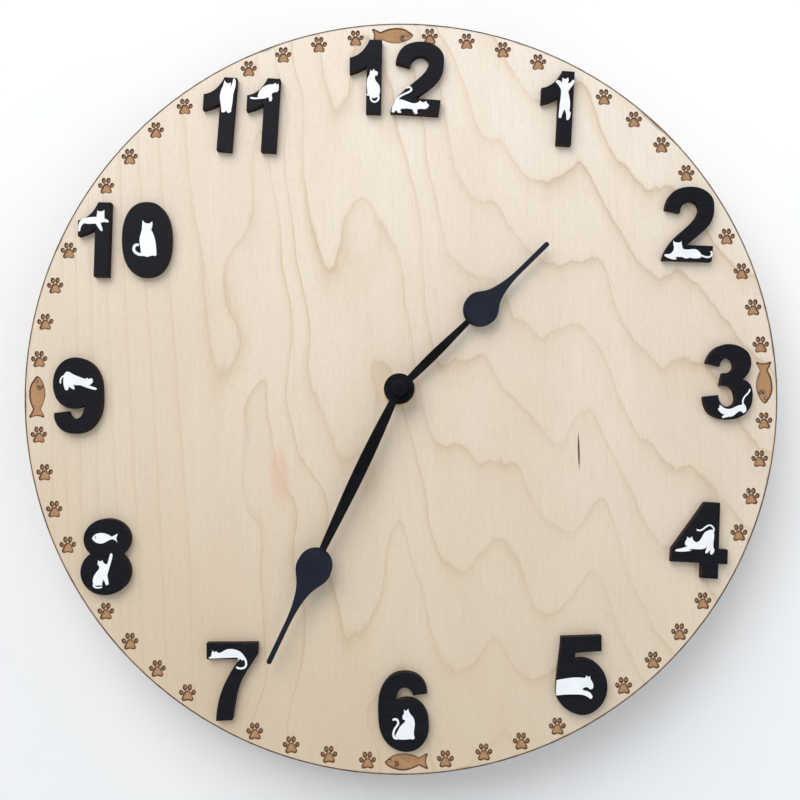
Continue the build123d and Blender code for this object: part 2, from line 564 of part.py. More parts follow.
def paw_face():
    """The engraved area of a paw."""
    with BuildSketch() as face:
        for place, half_axes, turn in TOES:
            with Locations(Location(place, turn)):
                Ellipse(*half_axes)
        with BuildLine():
            Spline(*PAD, periodic=True)
        make_face()
    return face.sketch


def fish_face():
    """The engraved area of a fish."""
    with BuildSketch() as face:
        add(lined_face(FISH))
        with Locations(EYE[0]):
            Circle(EYE[1], mode=Mode.SUBTRACT)
        with BuildLine():
            Spline(*GILL[1])
        trace(line_width=GILL[0], mode=Mode.SUBTRACT)
    return face.sketch


def ring_of_marks(paw, fish):
    """A paw at each minute that has no numeral, always upright, and a fish at each quarter."""
    flipped = fish.mirror(Plane.YZ)
    with BuildSketch() as ring:
        for minute in range(MINUTES):
            angle = radians(90 - 360 * minute / MINUTES)
            place = (MARK_RING_RADIUS * cos(angle), MARK_RING_RADIUS * sin(angle))
            hour = minute * HOURS // MINUTES
            if minute % (MINUTES // HOURS):
                with Locations(place):
                    add(paw)
            elif hour in FISH_PLACES:
                with Locations(Location(place, FISH_PLACES[hour])):
                    add(fish)
            elif hour == FLIPPED_FISH:
                with Locations(place):
                    add(flipped)
    return ring.sketch


MARKS = ring_of_marks(paw_face(), fish_face())
with BuildPart() as dial_board:
    disc(HAND_AXIS, DIAL_RADIUS, (BOARD_BACK, BOARD_FRONT))
    disc(HAND_AXIS, BUSHING_RADIUS + 0.2, (BOARD_BACK, BOARD_FRONT), mode=Mode.SUBTRACT)
    with BuildSketch(facing(BOARD_FRONT)):
        add(MARKS)
    extrude(amount=-MARK_DEPTH, mode=Mode.SUBTRACT)
dial_board.part.label = "dial_board"
export_step(dial_board.part, "parts/dial_board.step")


# ---------------------------------------------------------------- hands
TIP_HALF_WIDTH = 1.0
MINUTE_STEM = [(1.4, 4.5), (2.25, 22.0), (2.4, 39.0), (1.75, 60.0), (1.4, 69.0)]
MINUTE_BULB = (75.7, 6.75)   # distance from the axis, radius
MINUTE_FLANK = [(6.3, 4.4), (3.9, 8.6), (2.1, 13.9), (1.2, 20.0), (1.0, 27.0)]
HOUR_STEM = [(1.35, 4.5), (1.75, 14.0), (1.75, 22.0), (1.4, 31.0), (1.15, 38.0)]
HOUR_BULB = (44.9, 6.85)
HOUR_FLANK = [(6.2, 3.6), (3.9, 7.0), (2.1, 12.0), (1.2, 17.6), (1.0, 23.0)]
# a flank point is (half width, distance beyond the bulb's centre)


def hand_face(length, stem, bulb, flank, hole):
    """A hand that points up: hub disc, leaf-shaped stem, drop-shaped bulb and needle."""
    bulb_at, bulb_radius = bulb
    low = radians(-45)
    with BuildSketch() as face:
        with BuildLine():
            Spline(*stem)
            ThreePointArc(stem[-1], (bulb_radius * cos(low), bulb_at + bulb_radius * sin(low)),
                          (bulb_radius, bulb_at))
            side = [(half, bulb_at + beyond) for half, beyond in flank]
            Spline((bulb_radius, bulb_at), *side)
            Line(side[-1], (TIP_HALF_WIDTH, length - TIP_HALF_WIDTH))
            ThreePointArc((TIP_HALF_WIDTH, length - TIP_HALF_WIDTH),
                          (TIP_HALF_WIDTH * cos(-low), length - TIP_HALF_WIDTH * (1 - sin(-low))),
                          (0, length))
            Line((0, length), (0, stem[0][1]))
            Line((0, stem[0][1]), stem[0])
        make_face()
        mirror(about=Plane.YZ)
        Circle(HUB_RADIUS)
        Circle(hole, mode=Mode.SUBTRACT)
    return face.sketch


with BuildPart() as hour_hand:
    with BuildSketch(tilted(HAND_AXIS, HOUR_HAND_BACK, -HOUR_HAND_ANGLE)):
        add(hand_face(HOUR_HAND_LENGTH, HOUR_STEM, HOUR_BULB, HOUR_FLANK, HOUR_TUBE_RADIUS))
    extrude(amount=HAND_THICKNESS)
    disc(HAND_AXIS, HOUR_TUBE_RADIUS + 0.6, (HOUR_HAND_BACK + 0.5, HOUR_HAND_BACK))
    disc(HAND_AXIS, HOUR_TUBE_RADIUS, (HOUR_HAND_BACK + 0.5, HOUR_HAND_BACK), mode=Mode.SUBTRACT)
hour_hand.part.label = "hour_hand"
export_step(hour_hand.part, "parts/hour_hand.step")

with BuildPart() as minute_hand:
    with BuildSketch(tilted(HAND_AXIS, MINUTE_HAND_BACK, -MINUTE_HAND_ANGLE)):
        add(hand_face(MINUTE_HAND_LENGTH, MINUTE_STEM, MINUTE_BULB, MINUTE_FLANK, ARBOR_TIP_RADIUS))
    extrude(amount=HAND_THICKNESS)
minute_hand.part.label = "minute_hand"
export_step(minute_hand.part, "parts/minute_hand.step")

with BuildPart() as cap_nut:
    disc(HAND_AXIS, 3.25, (MINUTE_HAND_FRONT, CAP_FRONT))
    fillet(cap_nut.faces().sort_by(Axis.Y)[0].edges(), 0.7)
    disc(HAND_AXIS, ARBOR_TIP_RADIUS, (MINUTE_HAND_FRONT, ARBOR_FRONT - 0.1), mode=Mode.SUBTRACT)
cap_nut.part.label = "cap_nut"
export_step(cap_nut.part, "parts/cap_nut.step")


# ---------------------------------------------------------------- fixings
with BuildPart() as brass_washer:
    disc(HAND_AXIS, WASHER_RADIUS, (BOARD_FRONT, WASHER_FRONT))
    disc(HAND_AXIS, BUSHING_RADIUS + 0.1, (BOARD_FRONT, WASHER_FRONT), mode=Mode.SUBTRACT)
brass_washer.part.label = "brass_washer"
export_step(brass_washer.part, "parts/brass_washer.step")

with BuildPart() as hex_nut:
    with BuildSketch(facing(WASHER_FRONT)):
        RegularPolygon(5.5, 6, major_radius=False)
        Circle(BUSHING_RADIUS, mode=Mode.SUBTRACT)
    extrude(amount=NUT_THICKNESS)
hex_nut.part.label = "hex_nut"
export_step(hex_nut.part, "parts/hex_nut.step")

with BuildPart() as rubber_washer:
    disc(HAND_AXIS, 10.0, (HANGER_FRONT, BOARD_BACK))
    disc(HAND_AXIS, BUSHING_RADIUS + 0.2, (HANGER_FRONT, BOARD_BACK), mode=Mode.SUBTRACT)
rubber_washer.part.label = "rubber_washer"
export_step(rubber_washer.part, "parts/rubber_washer.step")

HANGER_HALF_WIDTH = 11.0
HANGER_LOW = -10.0
HANGER_BEND = CASE_SIZE / 2 + 0.3
HANGER_TAB_FRONT = -3.8
HANGER_TOP = 45.0
HANGER_HOLE = ((0.0, 37.0), 3.5)
with BuildPart() as hanger_plate:
    slab(-HANGER_HALF_WIDTH, HANGER_HALF_WIDTH, HANGER_LOW, HANGER_BEND + HANGER_SHEET,
         (CASE_FRONT, HANGER_FRONT))
    slab(-HANGER_HALF_WIDTH, HANGER_HALF_WIDTH, HANGER_BEND, HANGER_BEND + HANGER_SHEET,
         (HANGER_TAB_FRONT, CASE_FRONT))
    slab(-HANGER_HALF_WIDTH, HANGER_HALF_WIDTH, HANGER_BEND, HANGER_TOP,
         (HANGER_TAB_FRONT + HANGER_SHEET, HANGER_TAB_FRONT))
    fillet(hanger_plate.edges().filter_by(Axis.Y).group_by(Axis.Z)[-1], 5.0)
    disc(HAND_AXIS, BUSHING_RADIUS + 0.2, (CASE_FRONT, HANGER_FRONT), mode=Mode.SUBTRACT)
    disc(HANGER_HOLE[0], HANGER_HOLE[1], (HANGER_TAB_FRONT + HANGER_SHEET, HANGER_TAB_FRONT),
         mode=Mode.SUBTRACT)
hanger_plate.part.label = "hanger_plate"
export_step(hanger_plate.part, "parts/hanger_plate.step")

BUSHING_KNURL_RADIUS = 4.6
with BuildPart() as threaded_bushing:
    disc(HAND_AXIS, BUSHING_RADIUS, (CASE_FRONT, BUSHING_FRONT))
    disc(HAND_AXIS, BUSHING_KNURL_RADIUS, (CHAMBER_FRONT, CASE_FRONT))
    disc(HAND_AXIS, HOUR_TUBE_RADIUS + RUNNING_GAP, (CHAMBER_FRONT, BUSHING_FRONT), mode=Mode.SUBTRACT)
threaded_bushing.part.label = "threaded_bushing"
export_step(threaded_bushing.part, "parts/threaded_bushing.step")


# ---------------------------------------------------------------- movement case
HALF_CASE = CASE_SIZE / 2
COVER_FRONT = -COVER_DEPTH
COVER_LOW = BAY_TOP + 0.1
PIVOT_RADIUS = 0.35
PIVOT_HOLE = PIVOT_RADIUS + 0.04
PIVOT_DEPTH = 0.6
THIRD_BOSS_BACK = -12.9
MOTION_POST_RADIUS = 0.7
KNOB_SHAFT_RADIUS = 1.2
KNOB_PIVOT_RADIUS = 0.8
KNOB_BOSS_BACK = -13.7
KNOB_WELL = (5.0, 5.8, -2.8, -4.0)     # inner radius, outer radius, depth of its floor, front of the floor

with BuildPart() as case_front:
    with BuildSketch(facing(0)):
        RectangleRounded(CASE_SIZE, CASE_SIZE, CASE_CORNER)
    extrude(amount=CASE_DEPTH)
    slab(-HALF_CASE, HALF_CASE, BAY_TOP, HALF_CASE, (0, COVER_FRONT), mode=Mode.SUBTRACT)
    slab(CASE_WALL - HALF_CASE, HALF_CASE - CASE_WALL, CHAMBER_FLOOR, HALF_CASE - CASE_WALL,
         (COVER_FRONT, CHAMBER_FRONT), mode=Mode.SUBTRACT)
    slab(-BAY_HALF_LENGTH, BAY_HALF_LENGTH, BAY_FLOOR, BAY_TOP, (0, CASE_FRONT + 0.6), mode=Mode.SUBTRACT)
    disc(HAND_AXIS, BUSHING_KNURL_RADIUS, (CHAMBER_FRONT, CASE_FRONT), mode=Mode.SUBTRACT)
    for pillar in PLATE_PILLARS:
        disc(pillar, 1.3, (PLATE_LAYER[1], CHAMBER_FRONT))
    for post in BOARD_POSTS:
        disc(post, 1.2, (-4.0, CHAMBER_FRONT))
    disc(THIRD_AXIS, 0.9, (THIRD_BOSS_BACK, CHAMBER_FRONT))
    disc(THIRD_AXIS, PIVOT_HOLE, (THIRD_BOSS_BACK, THIRD_BOSS_BACK - 0.8), mode=Mode.SUBTRACT)
    disc(MOTION_AXIS, MOTION_POST_RADIUS, (CANNON_LAYER[0], CHAMBER_FRONT))
    disc(KNOB_AXIS, 1.7, (KNOB_BOSS_BACK, CHAMBER_FRONT))
    disc(KNOB_AXIS, KNOB_PIVOT_RADIUS + RUNNING_GAP, (KNOB_BOSS_BACK, CHAMBER_FRONT), mode=Mode.SUBTRACT)
case_front.part.label = "case_front"
export_step(case_front.part, "parts/case_front.step")

with BuildPart() as case_back:
    with BuildSketch(facing(0)):
        RectangleRounded(CASE_SIZE, CASE_SIZE, CASE_CORNER)
        with Locations((0, (COVER_LOW - HALF_CASE) / 2)):
            Rectangle(CASE_SIZE, COVER_LOW + HALF_CASE, mode=Mode.SUBTRACT)
    extrude(amount=COVER_DEPTH)
    slab(CASE_WALL - HALF_CASE, HALF_CASE - CASE_WALL, COVER_LOW + CASE_WALL, HALF_CASE - CASE_WALL,
         (-COVER_WALL, COVER_FRONT), mode=Mode.SUBTRACT)
    for bearing in REAR_BEARINGS:
        disc(bearing, 1.1, (-COVER_WALL, BOSS_FRONT))
        disc(bearing, PIVOT_HOLE, (BOSS_FRONT + 0.8, BOSS_FRONT), mode=Mode.SUBTRACT)
    disc(KNOB_AXIS, KNOB_WELL[1], (-COVER_WALL, KNOB_WELL[3]))
    disc(KNOB_AXIS, KNOB_WELL[0], (0, KNOB_WELL[2]), mode=Mode.SUBTRACT)
    disc(KNOB_AXIS, KNOB_SHAFT_RADIUS + RUNNING_GAP, (KNOB_WELL[2], KNOB_WELL[3]), mode=Mode.SUBTRACT)
case_back.part.label = "case_back"
export_step(case_back.part, "parts/case_back.step")

with BuildPart() as middle_plate:
    slab(-17.0, 20.0, -10.0, 9.6, PLATE_LAYER)
    disc(THIRD_AXIS, 0.5 + RUNNING_GAP, PLATE_LAYER, mode=Mode.SUBTRACT)
    disc(HAND_AXIS, 0.6 + RUNNING_GAP, (PLATE_LAYER[1] + 0.4, PLATE_LAYER[1]), mode=Mode.SUBTRACT)
    for bearing in (HAND_AXIS, INTERMEDIATE_AXIS, ROTOR_AXIS):
        disc(bearing, PIVOT_HOLE, (PLATE_LAYER[0], PLATE_LAYER[0] - 0.5), mode=Mode.SUBTRACT)
middle_plate.part.label = "middle_plate"
export_step(middle_plate.part, "parts/middle_plate.step")


# ---------------------------------------------------------------- wheels
CANNON_TURN = 0.0
MOTION_TURN = mesh_turn(CANNON_TEETH, CANNON_TURN, MOTION_TEETH, MOTION_DIRECTION)
MOTION_PINION_TURN = 0.0
HOUR_TURN = mesh_turn(MOTION_PINION_TEETH, MOTION_PINION_TURN, HOUR_TEETH, MOTION_DIRECTION + 180)
KNOB_TURN = mesh_turn(MOTION_TEETH, MOTION_TURN, KNOB_TEETH, KNOB_DIRECTION)
ROTOR_TURN = 0.0
INTERMEDIATE_TURN = mesh_turn(ROTOR_TEETH, ROTOR_TURN, INTERMEDIATE_TEETH, ROTOR_DIRECTION + 180)
INTERMEDIATE_PINION_TURN = 0.0
SECOND_TURN = mesh_turn(INTERMEDIATE_PINION_TEETH, INTERMEDIATE_PINION_TURN, SECOND_TEETH,
                        INTERMEDIATE_DIRECTION + 180)
SECOND_PINION_TURN = 0.0
THIRD_TURN = mesh_turn(SECOND_PINION_TEETH, SECOND_PINION_TURN, THIRD_TEETH, THIRD_DIRECTION)
THIRD_PINION_TURN = 0.0
CENTRE_TURN = mesh_turn(THIRD_PINION_TEETH, THIRD_PINION_TURN, CENTRE_TEETH, THIRD_DIRECTION + 180)

FINE_ARBOR = 0.5
REAR_SHOULDER = -3.2         # where the fine arbors step down to their rear pivots
REAR_PIVOT = REAR_SHOULDER + PIVOT_DEPTH
FRONT_PIVOT = PLATE_LAYER[0] - 0.4

with BuildPart() as minute_arbor:
    disc(HAND_AXIS, ARBOR_TIP_RADIUS, (MINUTE_HAND_BACK, ARBOR_FRONT))
    disc(HAND_AXIS, ARBOR_RADIUS, (CANNON_LAYER[1], MINUTE_HAND_BACK))
    toothed_disc(HAND_AXIS, CANNON_TEETH, MOTION_MODULE, PINION_TOOTH, CANNON_LAYER, CANNON_TURN)
    disc(HAND_AXIS, 1.3, (THIRD_PINION_LAYER[0], CANNON_LAYER[0]))
    disc(HAND_AXIS, 0.6, (PLATE_LAYER[1] + 0.3, THIRD_PINION_LAYER[0]))
minute_arbor.part.label = "minute_arbor"
export_step(minute_arbor.part, "parts/minute_arbor.step")

with BuildPart() as hour_wheel:
    toothed_disc(HAND_AXIS, HOUR_TEETH, HOUR_MODULE, WHEEL_TOOTH, HOUR_WHEEL_LAYER, HOUR_TURN)
    disc(HAND_AXIS, HOUR_TUBE_RADIUS, (HOUR_WHEEL_LAYER[0], HOUR_TUBE_FRONT))
    disc(HAND_AXIS, ARBOR_RADIUS + RUNNING_GAP, (HOUR_WHEEL_LAYER[0], HOUR_TUBE_FRONT), mode=Mode.SUBTRACT)
hour_wheel.part.label = "hour_wheel"
export_step(hour_wheel.part, "parts/hour_wheel.step")

with BuildPart() as motion_wheel:
    toothed_disc(MOTION_AXIS, MOTION_TEETH, MOTION_MODULE, WHEEL_TOOTH, MOTION_LAYER, MOTION_TURN)
    toothed_disc(MOTION_AXIS, MOTION_PINION_TEETH, HOUR_MODULE, PINION_TOOTH,
                 (MOTION_LAYER[1], HOUR_WHEEL_LAYER[1]),
                 MOTION_PINION_TURN)
    disc(MOTION_AXIS, MOTION_POST_RADIUS + RUNNING_GAP, (MOTION_LAYER[0], HOUR_WHEEL_LAYER[1]),
         mode=Mode.SUBTRACT)
motion_wheel.part.label = "motion_wheel"
export_step(motion_wheel.part, "parts/motion_wheel.step")

KNOB_HEAD_RADIUS = 4.5
KNOB_HEAD_LAYER = (-0.4, -2.7)
KNOB_GRIPS = 20
with BuildPart() as setting_knob:
    disc(KNOB_AXIS, KNOB_HEAD_RADIUS, KNOB_HEAD_LAYER)
    with BuildSketch(facing(KNOB_HEAD_LAYER[0])):
        with Locations(KNOB_AXIS):
            with PolarLocations(KNOB_HEAD_RADIUS, KNOB_GRIPS):
                Circle(0.4)
    extrude(amount=KNOB_HEAD_LAYER[0] - KNOB_HEAD_LAYER[1], mode=Mode.SUBTRACT)
    disc(KNOB_AXIS, KNOB_SHAFT_RADIUS, (KNOB_HEAD_LAYER[1], MOTION_LAYER[1] - 0.4))
    toothed_disc(KNOB_AXIS, KNOB_TEETH, MOTION_MODULE, PINION_TOOTH, MOTION_LAYER, KNOB_TURN)
    disc(KNOB_AXIS, KNOB_PIVOT_RADIUS, (MOTION_LAYER[1] - 0.4, CHAMBER_FRONT + 0.1))
setting_knob.part.label = "setting_knob"
export_step(setting_knob.part, "parts/setting_knob.step")

with BuildPart() as centre_wheel:
    toothed_disc(HAND_AXIS, CENTRE_TEETH, CENTRE_MODULE, WHEEL_TOOTH, CENTRE_LAYER, CENTRE_TURN)
    disc(HAND_AXIS, 2.4, (THIRD_PINION_LAYER[0] - 0.1, CANNON_LAYER[0] + 0.1))
    disc(HAND_AXIS, 1.3 + 0.03, (THIRD_PINION_LAYER[0], CANNON_LAYER[0]), mode=Mode.SUBTRACT)
centre_wheel.part.label = "centre_wheel"
export_step(centre_wheel.part, "parts/centre_wheel.step")

with BuildPart() as third_wheel:
    toothed_disc(THIRD_AXIS, THIRD_TEETH, THIRD_MODULE, WHEEL_TOOTH, THIRD_LAYER, THIRD_TURN)
    toothed_disc(THIRD_AXIS, THIRD_PINION_TEETH, CENTRE_MODULE, PINION_TOOTH, THIRD_PINION_LAYER,
                 THIRD_PINION_TURN)
    disc(THIRD_AXIS, FINE_ARBOR, (REAR_SHOULDER, THIRD_BOSS_BACK + 0.1))
    disc(THIRD_AXIS, PIVOT_RADIUS, (REAR_PIVOT, REAR_SHOULDER))
    disc(THIRD_AXIS, PIVOT_RADIUS, (THIRD_BOSS_BACK + 0.1, THIRD_BOSS_BACK - PIVOT_DEPTH))
third_wheel.part.label = "third_wheel"
export_step(third_wheel.part, "parts/third_wheel.step")

with BuildPart() as second_wheel:
    toothed_disc(HAND_AXIS, SECOND_TEETH, SECOND_MODULE, WHEEL_TOOTH, SECOND_LAYER, SECOND_TURN)
    toothed_disc(HAND_AXIS, SECOND_PINION_TEETH, THIRD_MODULE, PINION_TOOTH, SECOND_PINION_LAYER,
                 SECOND_PINION_TURN)
    disc(HAND_AXIS, FINE_ARBOR, (REAR_SHOULDER, SECOND_PINION_LAYER[0]))
    disc(HAND_AXIS, PIVOT_RADIUS, (REAR_PIVOT, REAR_SHOULDER))
    disc(HAND_AXIS, PIVOT_RADIUS, (SECOND_PINION_LAYER[1], FRONT_PIVOT))
second_wheel.part.label = "second_wheel"
export_step(second_wheel.part, "parts/second_wheel.step")

with BuildPart() as intermediate_wheel:
    toothed_disc(INTERMEDIATE_AXIS, INTERMEDIATE_TEETH, ROTOR_MODULE, WHEEL_TOOTH, INTERMEDIATE_LAYER,
                 INTERMEDIATE_TURN)
    toothed_disc(INTERMEDIATE_AXIS, INTERMEDIATE_PINION_TEETH, SECOND_MODULE, PINION_TOOTH,
                 INTERMEDIATE_PINION_LAYER, INTERMEDIATE_PINION_TURN)
    disc(INTERMEDIATE_AXIS, FINE_ARBOR, (REAR_SHOULDER, PLATE_LAYER[0] + 0.1))
    disc(INTERMEDIATE_AXIS, PIVOT_RADIUS, (REAR_PIVOT, REAR_SHOULDER))
    disc(INTERMEDIATE_AXIS, PIVOT_RADIUS, (PLATE_LAYER[0] + 0.1, FRONT_PIVOT))
intermediate_wheel.part.label = "intermediate_wheel"
export_step(intermediate_wheel.part, "parts/intermediate_wheel.step")

MAGNET_RADIUS = 2.4
with BuildPart() as rotor:
    disc(ROTOR_AXIS, MAGNET_RADIUS, MAGNET_LAYER)
    toothed_disc(ROTOR_AXIS, ROTOR_TEETH, ROTOR_MODULE, PINION_TOOTH, ROTOR_PINION_LAYER, ROTOR_TURN)
    disc(ROTOR_AXIS, FINE_ARBOR, (REAR_SHOULDER, PLATE_LAYER[0] + 0.1))
    disc(ROTOR_AXIS, PIVOT_RADIUS, (REAR_PIVOT, REAR_SHOULDER))
    disc(ROTOR_AXIS, PIVOT_RADIUS, (PLATE_LAYER[0] + 0.1, FRONT_PIVOT))
rotor.part.label = "rotor"
export_step(rotor.part, "parts/rotor.step")


# ---------------------------------------------------------------- motor and circuit
with BuildPart() as stator:
    disc(ROTOR_AXIS, MAGNET_RADIUS + 1.8, STATOR_LAYER)
    slab(ROTOR_AXIS[0], COIL_X + CORE_WIDTH / 2, CORE_ENDS[0], CORE_ENDS[0] + 2.4, STATOR_LAYER)
    slab(16.0, 18.4, ROTOR_AXIS[1], CORE_ENDS[1], STATOR_LAYER)
    slab(16.0, COIL_X + CORE_WIDTH / 2, CORE_ENDS[1] - 2.0, CORE_ENDS[1], STATOR_LAYER)
    disc(ROTOR_AXIS, MAGNET_RADIUS + 0.4, STATOR_LAYER, mode=Mode.SUBTRACT)
stator.part.label = "stator"
export_step(stator.part, "parts/stator.step")

with BuildPart() as coil_core:
    slab(COIL_X - CORE_WIDTH / 2, COIL_X + CORE_WIDTH / 2, CORE_ENDS[0], CORE_ENDS[1], CORE_LAYER)
coil_core.part.label = "coil_core"
export_step(coil_core.part, "parts/coil_core.step")

BOBBIN_TUBE_RADIUS = 1.25
COIL_FLANGE = 0.5


def upright(radius, low, high, mode=Mode.ADD):
    """A cylinder on the coil's axis, between two heights."""
    with BuildSketch(Plane(origin=(COIL_X, COIL_DEPTH, low), z_dir=(0, 0, 1))) as profile:
        Circle(radius)
    extrude(profile.sketch, amount=high - low, mode=mode)


with BuildPart() as coil_bobbin:
    upright(BOBBIN_TUBE_RADIUS, *COIL_ENDS)
    upright(COIL_RADIUS, COIL_ENDS[0], COIL_ENDS[0] + COIL_FLANGE)
    upright(COIL_RADIUS, COIL_ENDS[1] - COIL_FLANGE, COIL_ENDS[1])
    slab(COIL_X - CORE_WIDTH / 2, COIL_X + CORE_WIDTH / 2, COIL_ENDS[0], COIL_ENDS[1], CORE_LAYER,
         mode=Mode.SUBTRACT)
coil_bobbin.part.label = "coil_bobbin"
export_step(coil_bobbin.part, "parts/coil_bobbin.step")

with BuildPart() as coil_winding:
    upright(COIL_RADIUS - 0.2, COIL_ENDS[0] + COIL_FLANGE, COIL_ENDS[1] - COIL_FLANGE)
    upright(BOBBIN_TUBE_RADIUS, COIL_ENDS[0], COIL_ENDS[1], mode=Mode.SUBTRACT)
coil_winding.part.label = "coil_winding"
export_step(coil_winding.part, "parts/coil_winding.step")

CIRCUIT_LAYER = (-3.2, -4.0)
with BuildPart() as circuit_board:
    slab(-25.5, -11.5, 8.0, 25.5, CIRCUIT_LAYER)
circuit_board.part.label = "circuit_board"
export_step(circuit_board.part, "parts/circuit_board.step")

CRYSTAL_RADIUS = 1.0
with BuildPart() as quartz_crystal:
    with BuildSketch(Plane(origin=(-22.0, CIRCUIT_LAYER[1] - CRYSTAL_RADIUS, 16.0), z_dir=(1, 0, 0))):
        Circle(CRYSTAL_RADIUS)
    extrude(amount=6.0)
quartz_crystal.part.label = "quartz_crystal"
export_step(quartz_crystal.part, "parts/quartz_crystal.step")


# ---------------------------------------------------------------- battery and contacts
def lying(radius, left, right):
    """A cylinder along X on the battery's axis, between two sides."""
    with BuildSketch(Plane(origin=(left, BATTERY_DEPTH, BATTERY_HEIGHT), z_dir=(1, 0, 0))) as profile:
        Circle(radius)
    extrude(profile.sketch, amount=right - left)


with BuildPart() as battery:
    lying(BATTERY_RADIUS, *BATTERY_ENDS)
    chamfer(battery.edges().filter_by(GeomType.CIRCLE), 0.4)
    lying(BATTERY_NUB[0], BATTERY_ENDS[1], BATTERY_ENDS[1] + BATTERY_NUB[1])
battery.part.label = "battery"
export_step(battery.part, "parts/battery.step")

with BuildPart() as positive_contact:
    slab(BAY_HALF_LENGTH - CONTACT_SHEET, BAY_HALF_LENGTH, BAY_FLOOR + 2, BAY_TOP - 1,
         (-1.5, CASE_FRONT + 1.5))
    slab(BATTERY_ENDS[1] + BATTERY_NUB[1] + 0.05, BAY_HALF_LENGTH - CONTACT_SHEET, BATTERY_HEIGHT - 2,
         BATTERY_HEIGHT + 2, (BATTERY_DEPTH + 2, BATTERY_DEPTH - 2))
positive_contact.part.label = "positive_contact"
export_step(positive_contact.part, "parts/positive_contact.step")

SPRING_REACH = BATTERY_ENDS[0] - 0.05
with BuildPart() as negative_contact:
    slab(-BAY_HALF_LENGTH, CONTACT_SHEET - BAY_HALF_LENGTH, BAY_FLOOR + 2, BAY_TOP - 1,
         (-1.5, CASE_FRONT + 1.5))
    with BuildSketch(facing(BATTERY_DEPTH + 2)):
        with BuildLine():
            Polyline((CONTACT_SHEET - BAY_HALF_LENGTH, BATTERY_HEIGHT - 5),
                     (SPRING_REACH - 0.2, BATTERY_HEIGHT),
                     (CONTACT_SHEET - BAY_HALF_LENGTH + 0.3, BATTERY_HEIGHT + 5))
        trace(line_width=CONTACT_SHEET)
    extrude(amount=4.0)
negative_contact.part.label = "negative_contact"
export_step(negative_contact.part, "parts/negative_contact.step")
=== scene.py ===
"""The looks of a round wooden wall clock: its finishes, turned pieces, wall, light and camera."""

import json
from math import cos, pi, radians, sin

import bpy
import numpy as np
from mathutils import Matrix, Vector


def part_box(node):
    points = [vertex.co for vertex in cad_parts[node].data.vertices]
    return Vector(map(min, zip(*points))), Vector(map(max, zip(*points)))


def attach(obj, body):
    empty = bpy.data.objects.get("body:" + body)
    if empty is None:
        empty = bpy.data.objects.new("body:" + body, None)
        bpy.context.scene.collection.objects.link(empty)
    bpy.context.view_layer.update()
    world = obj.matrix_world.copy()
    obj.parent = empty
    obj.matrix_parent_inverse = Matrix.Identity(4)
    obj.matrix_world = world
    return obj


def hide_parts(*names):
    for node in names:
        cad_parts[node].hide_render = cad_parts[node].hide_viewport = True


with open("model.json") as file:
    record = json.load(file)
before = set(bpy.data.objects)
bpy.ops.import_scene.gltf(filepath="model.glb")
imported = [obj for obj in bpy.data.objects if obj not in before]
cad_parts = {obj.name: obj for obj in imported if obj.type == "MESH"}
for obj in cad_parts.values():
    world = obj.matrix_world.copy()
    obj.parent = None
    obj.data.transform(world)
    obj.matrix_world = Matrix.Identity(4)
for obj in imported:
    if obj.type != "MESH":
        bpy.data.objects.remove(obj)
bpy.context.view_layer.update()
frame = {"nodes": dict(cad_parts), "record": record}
MM = 0.001

# Depths are millimetres along Y, where less is nearer the front, and radii are about the hands' axis.
BOARD_BACK, BOARD_FRONT = -17.5, -23.5
BOARD_RADIUS = 150.0
PLIES = 5
# Each hand's drop, where its painted sheen begins: its distance from the axis, and its bearing in degrees
# clockwise from 12.
DROPS = ((44.9, 46.6), (75.7, 206.5))
# Two marks that grew in the veneer: the middle and the half axes of each, across and up.
BARK_FLECK = ((-48.0, -33.0), (5.0, 13.0))
DARK_SLIT = ((70.6, -25.6), (0.48, 8.2))


